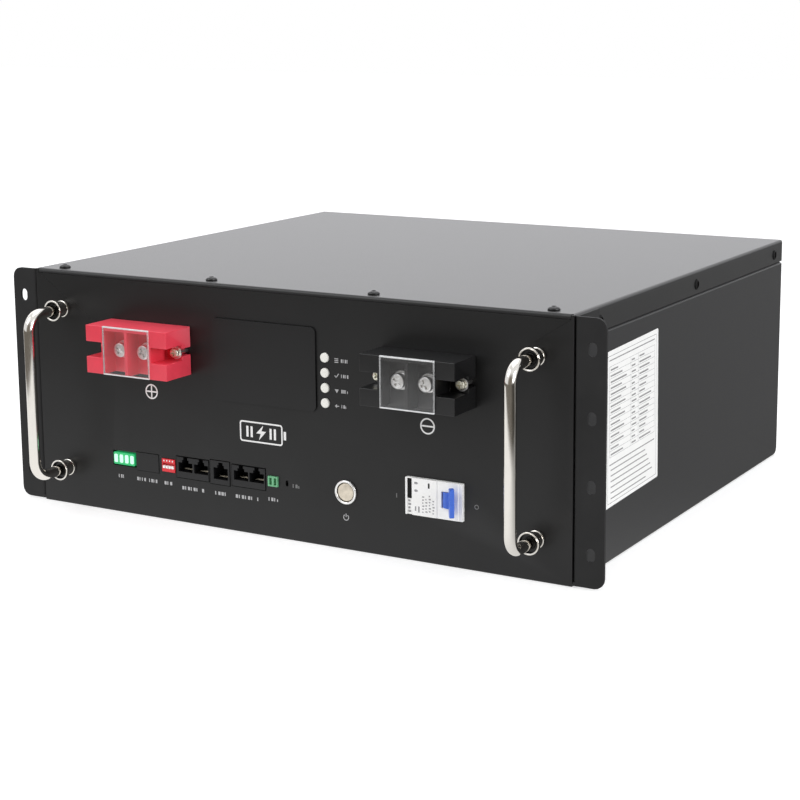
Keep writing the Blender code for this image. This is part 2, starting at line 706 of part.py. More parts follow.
def menu_keys(white):
    profile = [(0, -5 * MM), (KEY_FLANGE, -5 * MM), (KEY_FLANGE, -4 * MM), (KEY_R, -4 * MM),
               (KEY_R, KEY_PROUD - 0.5 * MM), (KEY_R - 0.5 * MM, KEY_PROUD), (0, KEY_PROUD)]
    key = mesh_from(forward(turned(profile, 16)), "menu_key")
    for i, z in enumerate(KEY_HEIGHTS, 1):
        place(f"button_menu_{i}", key, white, (KEY_X, FRONT, z), smooth=True)


def power_button(steel, warm):
    bore = POWER_CAP + GAP
    spot = (POWER[0], FRONT, POWER[1])
    profile = [(0, -20 * MM), (POWER_BARREL, -20 * MM), (POWER_BARREL, GAP), (POWER_RIM, GAP),
               (POWER_RIM, 1.2 * MM), (POWER_RIM - 0.9 * MM, 2 * MM), (bore + 0.7 * MM, 2 * MM),
               (bore, 1.4 * MM), (bore, -9 * MM), (0, -9 * MM)]
    place("power_button_housing", forward(turned(profile)), steel, spot, smooth=True)
    profile = [(0, -6 * MM), (POWER_CAP, -6 * MM), (POWER_CAP, 1 * MM), (POWER_CAP - 0.4 * MM, 1.4 * MM),
               (0, 1.4 * MM)]
    place("power_button_cap", forward(turned(profile)), warm, spot, smooth=True)


# Circuit breaker

def breaker(white, blue):
    x, z = BREAKER
    half_w = NOSE_W / 2
    half_h = NOSE_H / 2
    back = FRONT + PANEL + GAP
    body = box(x - BREAKER_W / 2, x + BREAKER_W / 2, back, FRONT + BREAKER_D, z - half_h, z + half_h)
    obj = place("breaker_body", body, white)
    join(obj, box(x - half_w, x + half_w, ahead(NOSE_PROUD), back + 1 * MM, z - half_h, z + half_h))
    reach = TOGGLE_HUB + GAP
    well = box(TOGGLE_X - reach, TOGGLE_X + reach, ahead(NOSE_PROUD + 1 * MM), FRONT + reach,
               TOGGLE_Z - TOGGLE_W / 2 - GAP, TOGGLE_Z + TOGGLE_W / 2 + GAP)
    cut(obj, well)
    toggle(blue)


def toggle(blue):
    """A hub on the joint's axis, a stem and a wide paddle, built upright and then leaned over."""
    hub = circle((0, 0), TOGGLE_HUB, 20)
    stem = prism(hub, -TOGGLE_W / 2, TOGGLE_W / 2, "z")
    thick = PADDLE_T / 2
    arm = box(-thick, thick, -PADDLE_TO + 0.5 * MM, 0, -TOGGLE_W / 2 + GAP, TOGGLE_W / 2 - GAP)
    paddle = box(-thick, thick, -PADDLE_TO, -PADDLE_FROM, -PADDLE_W / 2, PADDLE_W / 2)
    edges = [e for e in paddle.edges if abs(e.verts[0].co.x - e.verts[1].co.x) > PADDLE_T / 2]
    bmesh.ops.bevel(paddle, geom=edges, offset=1.2 * MM, segments=2, affect="EDGES", profile=0.5)
    lean = Matrix.Rotation(TOGGLE_LEAN, 3, "Z")
    for bm in (stem, arm, paddle):
        bmesh.ops.rotate(bm, verts=bm.verts[:], matrix=lean)
    obj = place("breaker_toggle", stem, blue, (TOGGLE_X, FRONT, TOGGLE_Z), smooth=True)
    join(obj, arm)
    join(obj, paddle)


# Signal row

def lens_block(name, limits, proud, depth, mat):
    x0, x1, z0, z1 = limits
    place(name, box(x0, x1, ahead(proud), ahead(-depth), z0, z1), mat)


def dip_switch(red, white):
    x0, x1, z0, z1 = DIP
    x = (x0 + x1) / 2
    z = (z0 + z1) / 2 - 0.3 * MM
    proud = 0.8 * MM
    floor = -1.4 * MM
    obj = place("dip_switch", box(x0, x1, ahead(proud), ahead(-6 * MM), z0, z1), red)
    half_w, half_h = DIP_POCKET[0] / 2, DIP_POCKET[1] / 2
    cut(obj, box(x - half_w, x + half_w, ahead(proud + 1 * MM), ahead(floor), z - half_h, z + half_h))
    lever_w, lever_h = DIP_LEVER
    lever = box(-lever_w / 2, lever_w / 2, -1.2 * MM, 1.2 * MM, 0, lever_h)
    lever = mesh_from(lever, "dip_lever")
    for i in range(4):
        spot = (x + (i - 1.5) * DIP_PITCH, FRONT, z - half_h + 0.1 * MM)
        place(f"dip_lever_{i + 1}", lever, white, spot)


def socket_outline(x, mouth):
    """A modular-jack opening: the wide mouth, then two narrower steps for the latch."""
    shoulder = SOCKET_SHOULDER_Z
    half = SOCKET_W / 2
    (wide, low), (narrow, high) = LATCH
    right = [(half, shoulder - mouth), (half, shoulder), (wide, shoulder), (wide, shoulder + low),
             (narrow, shoulder + low), (narrow, shoulder + high)]
    return [(x + u, v) for u, v in right] + [(x - u, v) for u, v in reversed(right)]


def ports(black):
    for name, (limits, sockets, mouth) in PORTS.items():
        x0, x1, z0, z1 = limits
        obj = place(name, box(x0, x1, ahead(PORT_PROUD), ahead(-PORT_DEPTH), z0, z1), black)
        holes = [prism(socket_outline(x, mouth), ahead(PORT_PROUD + 1 * MM), ahead(-SOCKET_DEPTH), "y")
                 for x in sockets]
        cut(obj, tools(*holes))


def dry_contact(green):
    x0, x1, z0, z1 = DRY
    obj = place("dry_contact", box(x0, x1, ahead(1.6 * MM), ahead(-9 * MM), z0, z1), green)
    slots = [box(x - 1 * MM, x + 1 * MM, ahead(3 * MM), ahead(-6 * MM), ROW_Z - 2.6 * MM,
                 ROW_Z + 2.6 * MM) for x in DRY_SLOTS]
    cut(obj, tools(*slots))


def reset_button(black):
    foot = -BOARD_BEHIND + 1 * MM
    collar = 2.4 * MM
    profile = [(0, foot), (collar, foot), (collar, -4 * MM), (RESET_PIN, -4 * MM),
               (RESET_PIN, -RESET_SUNK), (0, -RESET_SUNK)]
    pin = forward(turned(profile, SMALL))
    place("reset_button", pin, black, (RESET[0], FRONT, RESET[1]), smooth=True)


# Inside the case

def interface_board(green):
    """One L-shaped board: a strip behind the signal row and a tall part behind the display."""
    outline = [(-156 * MM, 26 * MM), (34 * MM, 26 * MM), (34 * MM, 58 * MM), (44 * MM, 58 * MM),
               (44 * MM, 157 * MM), (-62 * MM, 157 * MM), (-62 * MM, 58 * MM), (-156 * MM, 58 * MM)]
    y = FRONT + BOARD_BEHIND
    place("interface_board", prism(outline, y, y + BOARD, "y"), green)


def bms_board(aluminium):
    """Battery-management board with its finned heat spreader, standing ahead of the cells."""
    half = 83 * MM
    base = 4 * MM
    fin = 2 * MM
    depth = 12 * MM
    pitch = 2 * half / 14
    outline = [(half, base), (half, 0), (-half, 0), (-half, base)]
    for i in range(14):
        x = -half + (i + 0.5) * pitch
        outline += [(x - fin / 2, base), (x - fin / 2, depth), (x + fin / 2, depth), (x + fin / 2, base)]
    outline.reverse()
    spot = (-15 * MM, FRONT + 74 * MM, 0)
    place("bms_board", prism(outline, 62 * MM, 158 * MM, "z"), aluminium, spot)


def cell_stacks(wrap):
    """Two stacks of eight prismatic cells lying on their sides, with a groove between cells."""
    groove = 0.8 * MM
    edge = 2 * MM
    length = CELLS_IN_STACK * CELL_T
    joints = [(i + 1) * CELL_T for i in range(CELLS_IN_STACK - 1)]
    near = [(0, 0)]
    far = [(CELL_W, length)]
    for y in joints:
        near += [(0, y - groove), (edge, y - groove), (edge, y + groove), (0, y + groove)]
    for y in reversed(joints):
        far += [(CELL_W, y + groove), (CELL_W - edge, y + groove), (CELL_W - edge, y - groove),
                (CELL_W, y - groove)]
    outline = near + [(0, length)] + far + [(CELL_W, 0)]
    outline.reverse()
    y = CASE_REAR - 4 * MM - length
    for name, x in (("cell_stack_left", -STACK_GAP - CELL_W), ("cell_stack_right", STACK_GAP)):
        z = SHEET + 1 * MM
        place(name, prism(outline, z, z + CELL_H, "z"), wrap, (x, y, 0))


def build():
    clear_scene()
    steel = material("black_powder_coat", (0.03, 0.03, 0.032), 0.5)
    chrome = material("chrome", (0.8, 0.79, 0.76), 0.12, 1.0)
    black_screw = material("black_screw", (0.02, 0.02, 0.02), 0.4, 0.6)
    red = material("red_plastic", (0.8, 0.04, 0.06), 0.4)
    black = material("black_plastic", (0.015, 0.015, 0.016), 0.45)
    clear = material("clear_plastic", (0.85, 0.88, 0.9), 0.05, 0.0, 0.3)
    silver = material("nickel", (0.7, 0.7, 0.72), 0.25, 1.0)
    zinc = material("yellow_zinc", (0.75, 0.6, 0.3), 0.3, 1.0)
    white = material("white_plastic", (0.85, 0.85, 0.83), 0.4)
    warm = material("warm_nickel", (0.62, 0.55, 0.48), 0.35, 1.0)
    lens = material("smoked_lens", (0.02, 0.02, 0.022), 0.2)
    green = material("green_plastic", (0.1, 0.6, 0.2), 0.4)
    lit = material("lit_green", (0.2, 0.9, 0.4), 0.4)
    blue = material("blue_plastic", (0.05, 0.2, 0.85), 0.4)
    board = material("circuit_board", (0.02, 0.2, 0.08), 0.5)
    copper = material("copper", (0.8, 0.4, 0.25), 0.3, 1.0)
    aluminium = material("aluminium", (0.7, 0.7, 0.7), 0.45, 1.0)
    wrap = material("blue_wrap", (0.05, 0.12, 0.35), 0.45)

    chassis(steel)
    lid(steel)
    front_panel(steel)
    rack_ear("ear_left", -1, steel)
    rack_ear("ear_right", 1, steel)
    handles(chrome)
    lid_screws(black_screw)
    terminal("positive", -1, red, clear, silver, zinc)
    terminal("negative", 1, black, clear, silver, zinc)
    busbars(copper)
    display(lens)
    menu_keys(white)
    power_button(silver, warm)
    breaker(white, blue)
    lens_block("led_bar", LED_BAR, 0.8 * MM, 6 * MM, lit)
    lens_block("led_window", LED_WINDOW, 0.4 * MM, 6 * MM, lens)
    dip_switch(red, white)
    ports(black)
    dry_contact(green)
    reset_button(black)
    interface_board(board)
    bms_board(aluminium)
    cell_stacks(wrap)


build()
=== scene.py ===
"""Looks of the server rack battery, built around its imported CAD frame.

Metres, +X to the right seen from the front, +Y to the rear, +Z up. Pieces on the front panel are
described by (x, z) and by how far they stand ahead of the panel's outer face; ahead() turns that
distance into a world Y. CAD nodes whose shape is right stay and get finer edges and a finish; round
and small pieces are built again here at a finer grain and stand for their nodes.
"""
import json
import math

import bmesh
import bpy
from mathutils import Matrix, Vector


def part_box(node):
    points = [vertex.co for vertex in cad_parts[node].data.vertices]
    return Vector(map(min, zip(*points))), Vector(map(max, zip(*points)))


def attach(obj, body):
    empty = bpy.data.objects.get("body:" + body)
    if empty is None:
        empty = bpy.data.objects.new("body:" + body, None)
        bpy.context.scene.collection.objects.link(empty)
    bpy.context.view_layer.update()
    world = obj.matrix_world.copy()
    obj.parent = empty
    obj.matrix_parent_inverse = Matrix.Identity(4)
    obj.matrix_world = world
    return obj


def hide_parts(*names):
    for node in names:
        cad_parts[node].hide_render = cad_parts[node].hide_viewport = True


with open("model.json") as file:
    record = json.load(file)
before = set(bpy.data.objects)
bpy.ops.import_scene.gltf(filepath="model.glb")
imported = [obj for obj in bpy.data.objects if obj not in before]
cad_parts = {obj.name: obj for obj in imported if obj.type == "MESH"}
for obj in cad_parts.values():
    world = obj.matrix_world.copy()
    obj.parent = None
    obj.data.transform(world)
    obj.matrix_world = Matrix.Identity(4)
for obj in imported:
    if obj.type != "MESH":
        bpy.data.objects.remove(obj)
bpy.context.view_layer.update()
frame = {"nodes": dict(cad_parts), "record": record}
NODES = frame["nodes"]

MM = 0.001
GAP = 0.3 * MM                      # clearance round a piece that moves
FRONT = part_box("front_panel")[0].y  # world Y of the panel's outer face
INK = 0.05 * MM                     # thickness of screen print


def ahead(distance):
    """World Y of a point that stands this far in front of the panel."""
    return FRONT - distance


def centre(node):
    low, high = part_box(node)
    return (low + high) / 2


def half_width(node):
    low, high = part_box(node)
    return (high.x - low.x) / 2


def proud(node):
    """How far a CAD node stands ahead of the panel's outer face."""
    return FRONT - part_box(node)[0].y


# Outlines: lists of (u, v) points, anticlockwise

def rectangle(u0, u1, v0, v1):
    return [(u0, v0), (u1, v0), (u1, v1), (u0, v1)]


def arc(middle, radius, start, end, steps):
    """Points along an arc, from one angle in degrees to another."""
    points = []
    for i in range(steps + 1):
        angle = math.radians(start + (end - start) * i / steps)
        points.append((middle[0] + radius * math.cos(angle), middle[1] + radius * math.sin(angle)))
    return points


def circle(middle, radius, sides=48):
    return arc(middle, radius, 0, 360, sides)[:-1]


def rounded(u0, u1, v0, v1, radius, steps=8):
    corners = [((u1 - radius, v0 + radius), -90), ((u1 - radius, v1 - radius), 0),
               ((u0 + radius, v1 - radius), 90), ((u0 + radius, v0 + radius), 180)]
    return [p for middle, start in corners for p in arc(middle, radius, start, start + 90, steps)]


def stroke(start, end, width):
    """A straight line of ink with square ends."""
    a, b = Vector(start), Vector(end)
    side = (b - a).normalized().orthogonal() * width / 2
    return [tuple(a - side), tuple(b - side), tuple(b + side), tuple(a + side)]


# Solids

def prism(outline, low, high, along="y", holes=()):
    """An outline, with holes if any, extruded between two levels along one axis."""
    bm = bmesh.new()
    for loop in (outline, *holes):
        verts = [bm.verts.new((u, v, 0)) for u, v in loop]
        for a, b in zip(verts, verts[1:] + verts[:1]):
            bm.edges.new((a, b))
    bmesh.ops.triangle_fill(bm, use_beauty=True, edges=bm.edges[:], normal=(0, 0, 1))
    side = bmesh.ops.extrude_face_region(bm, geom=bm.faces[:])
    top = [v for v in side["geom"] if isinstance(v, bmesh.types.BMVert)]
    bmesh.ops.translate(bm, verts=top, vec=(0, 0, high - low))
    turn = {
        "z": Matrix.Identity(3),
        "y": Matrix(((1, 0, 0), (0, 0, 1), (0, 1, 0))),
        "x": Matrix(((0, 0, 1), (1, 0, 0), (0, 1, 0))),
    }[along]
    shift = {"z": (0, 0, low), "y": (0, low, 0), "x": (low, 0, 0)}[along]
    bmesh.ops.transform(bm, matrix=turn.to_4x4(), verts=bm.verts[:])
    bmesh.ops.translate(bm, verts=bm.verts[:], vec=shift)
    bmesh.ops.recalc_face_normals(bm, faces=bm.faces[:])
    return bm


def box(x0, x1, y0, y1, z0, z1):
    return prism(rectangle(x0, x1, y0, y1), z0, z1, "z")


def turned(profile, sides=72, closed=False):
    """A lathed solid about +Z from (radius, height) points; a closed profile leaves a bore."""
    bm = bmesh.new()
    rings = []
    for radius, height in profile:
        if radius == 0:
            rings.append([bm.verts.new((0, 0, height))])
            continue
        rings.append([bm.verts.new((radius * math.cos(a), radius * math.sin(a), height))
                      for a in (2 * math.pi * i / sides for i in range(sides))])
    pairs = list(zip(rings, rings[1:]))
    if closed:
        pairs.append((rings[-1], rings[0]))
    for lower, upper in pairs:
        for i in range(sides):
            j = (i + 1) % sides
            if len(lower) == 1:
                bm.faces.new((lower[0], upper[j], upper[i]))
            elif len(upper) == 1:
                bm.faces.new((lower[i], lower[j], upper[0]))
            else:
                bm.faces.new((lower[i], lower[j], upper[j], upper[i]))
    bmesh.ops.recalc_face_normals(bm, faces=bm.faces[:])
    return bm


def swept(path, radius, sides=40):
    """A round bar along a path that stays in a plane of constant X."""
    bm = bmesh.new()
    across = Vector((1, 0, 0))
    rings = []
    for i, point in enumerate(path):
        before = path[max(i - 1, 0)]
        after = path[min(i + 1, len(path) - 1)]
        normal = (after - before).normalized().cross(across)
        ring = []
        for k in range(sides):
            angle = 2 * math.pi * k / sides
            ring.append(bm.verts.new(point + radius * (across * math.cos(angle) + normal * math.sin(angle))))
        rings.append(ring)
    for lower, upper in zip(rings, rings[1:]):
        for i in range(sides):
            j = (i + 1) % sides
            bm.faces.new((lower[i], lower[j], upper[j], upper[i]))
    bm.faces.new(rings[0])
    bm.faces.new(rings[-1])
    bmesh.ops.recalc_face_normals(bm, faces=bm.faces[:])
    return bm


def gathered(parts):
    """Several solids in one bmesh."""
    bm = bmesh.new()
    for part in parts:
        mesh = mesh_from(part, "part")
        bm.from_mesh(mesh)
        bpy.data.meshes.remove(mesh)
    return bm


def forward(bm):
    """Turns a solid that was lathed about +Z so that it points out of the front panel."""
    bmesh.ops.rotate(bm, verts=bm.verts[:], matrix=Matrix.Rotation(math.radians(90), 3, "X"))
    return bm


def mesh_from(bm, name):
    mesh = bpy.data.meshes.new(name)
    bm.to_mesh(mesh)
    bm.free()
    return mesh


def carved(name, solid, *cutters):
    """The mesh that is left when cutters are taken out of a solid, one after the other."""
    made = [bpy.data.objects.new(name, mesh_from(bm, name)) for bm in (solid, *cutters)]
    for obj in made:
        bpy.context.scene.collection.objects.link(obj)
    for tool in made[1:]:
        cut = made[0].modifiers.new("cut", "BOOLEAN")
        cut.object = tool
        cut.solver = "EXACT"
    graph = bpy.context.evaluated_depsgraph_get()
    mesh = bpy.data.meshes.new_from_object(made[0].evaluated_get(graph), depsgraph=graph)
    for obj in made:
        bpy.data.objects.remove(obj)
    return mesh


# Pieces

def soften(obj, width, segments=3):
    """Rounds the sharp edges and keeps the flat faces flat in the shading."""
    obj.data.shade_smooth()
    edge = obj.modifiers.new("edges", "BEVEL")
    edge.limit_method = "ANGLE"
    edge.angle_limit = math.radians(40)
    edge.width = width
    edge.segments = segments
    edge.miter_outer = "MITER_ARC"
    flat = obj.modifiers.new("flats", "WEIGHTED_NORMAL")
    flat.mode = "FACE_AREA"
    flat.weight = 100


def piece(name, shape, mat, body="case", at=(0, 0, 0), turn=(0, 0, 0), edge=0.0, stands_for=()):
    """A new visible piece that rides on a body, with rounded edges, in place of some CAD nodes."""
    mesh = mesh_from(shape, name) if isinstance(shape, bmesh.types.BMesh) else shape
    if not mesh.materials:
        mesh.materials.append(mat)
    obj = bpy.data.objects.new(name, mesh)
    obj.location = at
    obj.rotation_euler = turn
    bpy.context.scene.collection.objects.link(obj)
    if edge:
        soften(obj, edge)
    else:
        mesh.shade_smooth()
        mesh.set_sharp_from_angle(angle=math.radians(35))
    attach(obj, body)
    if stands_for:
        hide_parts(*stands_for)
    return obj


def keep(node, mat, edge=0.0, segments=2, merge=False):
    """A CAD node that stays: its triangles are welded, its edges rounded and its finish replaced."""
    obj = NODES[node]
    normals = obj.data.attributes.get("custom_normal")
    if normals:
        obj.data.attributes.remove(normals)
    weld = obj.modifiers.new("weld", "WELD")
    weld.merge_threshold = 0.002 * MM
    if merge:
        planes = obj.modifiers.new("planes", "DECIMATE")
        planes.decimate_type = "DISSOLVE"
        planes.angle_limit = math.radians(1)
    obj.data.materials.clear()
    obj.data.materials.append(mat)
    if edge:
        soften(obj, edge, segments)
    return obj


# Finishes

def noise(tree, size, detail=3.0, stretch=None):
    """A noise pattern in the object's own space whose features have about the given size."""
    coords = tree.nodes.new("ShaderNodeTexCoord")
    source = coords.outputs["Object"]
    if stretch:
        mapping = tree.nodes.new("ShaderNodeMapping")
        mapping.inputs["Scale"].default_value = stretch
        tree.links.new(source, mapping.inputs["Vector"])
        source = mapping.outputs["Vector"]
    pattern = tree.nodes.new("ShaderNodeTexNoise")
    pattern.inputs["Scale"].default_value = 1 / size
    pattern.inputs["Detail"].default_value = detail
    tree.links.new(source, pattern.inputs["Vector"])
    return pattern.outputs["Fac"]


def spread(tree, value, low, high):
    """Maps a noise value, which mostly lies between 0.3 and 0.7, to a range."""
    span = tree.nodes.new("ShaderNodeMapRange")
    span.inputs["From Min"].default_value = 0.3
    span.inputs["From Max"].default_value = 0.7
    span.inputs["To Min"].default_value = low
    span.inputs["To Max"].default_value = high
    tree.links.new(value, span.inputs["Value"])
    return span.outputs["Result"]


def mixed(tree, factor, first, second):
    mix = tree.nodes.new("ShaderNodeMix")
    mix.data_type = "RGBA"
    tree.links.new(factor, mix.inputs["Factor"])
    for socket, colour in ((mix.inputs["A"], first), (mix.inputs["B"], second)):
        if isinstance(colour, tuple):
            socket.default_value = (*colour, 1)
        else:
            tree.links.new(colour, socket)
    return mix.outputs["Result"]


def finish(name, colour, roughness, metallic=0.0, ior=1.5, mottle=0.06, mottle_size=9 * MM,
           grain_size=0.4 * MM, grain_depth=0.004 * MM, uneven=0.04, edge_wear_and_highlight=None, stretch=None):
    """A Principled finish with broad mottling, fine grain, uneven gloss and, if given, lighter convex edges
    that are partly wear and partly a painted highlight.
    """
    mat = bpy.data.materials.new(name)
    mat.use_nodes = True
    tree = mat.node_tree
    shader = tree.nodes["Principled BSDF"]
    broad = noise(tree, mottle_size, 4.0)
    fine = noise(tree, grain_size, 2.0, stretch)
    dark = tuple(c * (1 - mottle) for c in colour)
    light = tuple(min(1.0, c * (1 + mottle)) for c in colour)
    base = mixed(tree, spread(tree, broad, 0, 1), dark, light)
    if edge_wear_and_highlight:
        # convex edges get a lighter colour: partly wear, partly a painted highlight
        geometry = tree.nodes.new("ShaderNodeNewGeometry")
        rim = tree.nodes.new("ShaderNodeMapRange")
        rim.inputs["From Min"].default_value = 0.53
        rim.inputs["From Max"].default_value = 0.62
        rim.inputs["To Max"].default_value = 0.6
        tree.links.new(geometry.outputs["Pointiness"], rim.inputs["Value"])
        base = mixed(tree, rim.outputs["Result"], base, edge_wear_and_highlight)
    tree.links.new(base, shader.inputs["Base Color"])
    gloss = spread(tree, fine, roughness - uneven, roughness + uneven)
    tree.links.new(gloss, shader.inputs["Roughness"])
    bump = tree.nodes.new("ShaderNodeBump")
    bump.inputs["Strength"].default_value = 1.0
    bump.inputs["Distance"].default_value = grain_depth
    tree.links.new(fine, bump.inputs["Height"])
    tree.links.new(bump.outputs["Normal"], shader.inputs["Normal"])
    shader.inputs["Metallic"].default_value = metallic
    shader.inputs["IOR"].default_value = ior
    return mat


def lit(name, colour, glow, strength):
    """A plastic that is lit from behind."""
    mat = finish(name, colour, 0.3)
    shader = mat.node_tree.nodes["Principled BSDF"]
    shader.inputs["Emission Color"].default_value = (*glow, 1)
    shader.inputs["Emission Strength"].default_value = strength
    return mat


def clear(name, body, haze_and_painted_highlight, ior):
    """Thin clear plastic: light passes straight through, and a share of milky white shows its edges: haze on
    the plate, a painted highlight on the rim and sides.
    """
    mat = bpy.data.materials.new(name)
    mat.use_nodes = True
    tree = mat.node_tree
    tree.nodes.remove(tree.nodes["Principled BSDF"])
    through = tree.nodes.new("ShaderNodeBsdfTransparent")
    through.inputs["Color"].default_value = (*body, 1)
    # milky white: haze on the plate, and a painted highlight where the rim and sides take a large share of it
    milky_haze_and_highlight = tree.nodes.new("ShaderNodeBsdfDiffuse")
    milky_haze_and_highlight.inputs["Color"].default_value = (0.93, 0.94, 0.95, 1)
    shine = tree.nodes.new("ShaderNodeBsdfGlossy")
    tree.links.new(spread(tree, noise(tree, 9 * MM), 0.08, 0.12), shine.inputs["Roughness"])
    solid = tree.nodes.new("ShaderNodeMixShader")
    tree.links.new(spread(tree, noise(tree, 4 * MM), haze_and_painted_highlight * 0.8, haze_and_painted_highlight * 1.2), solid.inputs["Fac"])
    tree.links.new(through.outputs["BSDF"], solid.inputs[1])
    tree.links.new(milky_haze_and_highlight.outputs["BSDF"], solid.inputs[2])
    fresnel = tree.nodes.new("ShaderNodeFresnel")
    fresnel.inputs["IOR"].default_value = ior
    surface = tree.nodes.new("ShaderNodeMixShader")
    tree.links.new(fresnel.outputs["Fac"], surface.inputs["Fac"])
    tree.links.new(solid.outputs["Shader"], surface.inputs[1])
    tree.links.new(shine.outputs["BSDF"], surface.inputs[2])
    path = tree.nodes.new("ShaderNodeLightPath")
    bounced = tree.nodes.new("ShaderNodeMath")
    bounced.operation = "MAXIMUM"
    tree.links.new(path.outputs["Is Shadow Ray"], bounced.inputs[0])
    tree.links.new(path.outputs["Is Diffuse Ray"], bounced.inputs[1])
    lamps = tree.nodes.new("ShaderNodeMixShader")
    tree.links.new(bounced.outputs["Value"], lamps.inputs["Fac"])
    tree.links.new(surface.outputs["Shader"], lamps.inputs[1])
    tree.links.new(through.outputs["BSDF"], lamps.inputs[2])
    tree.links.new(lamps.outputs["Shader"], tree.nodes["Material Output"].inputs["Surface"])
    return mat


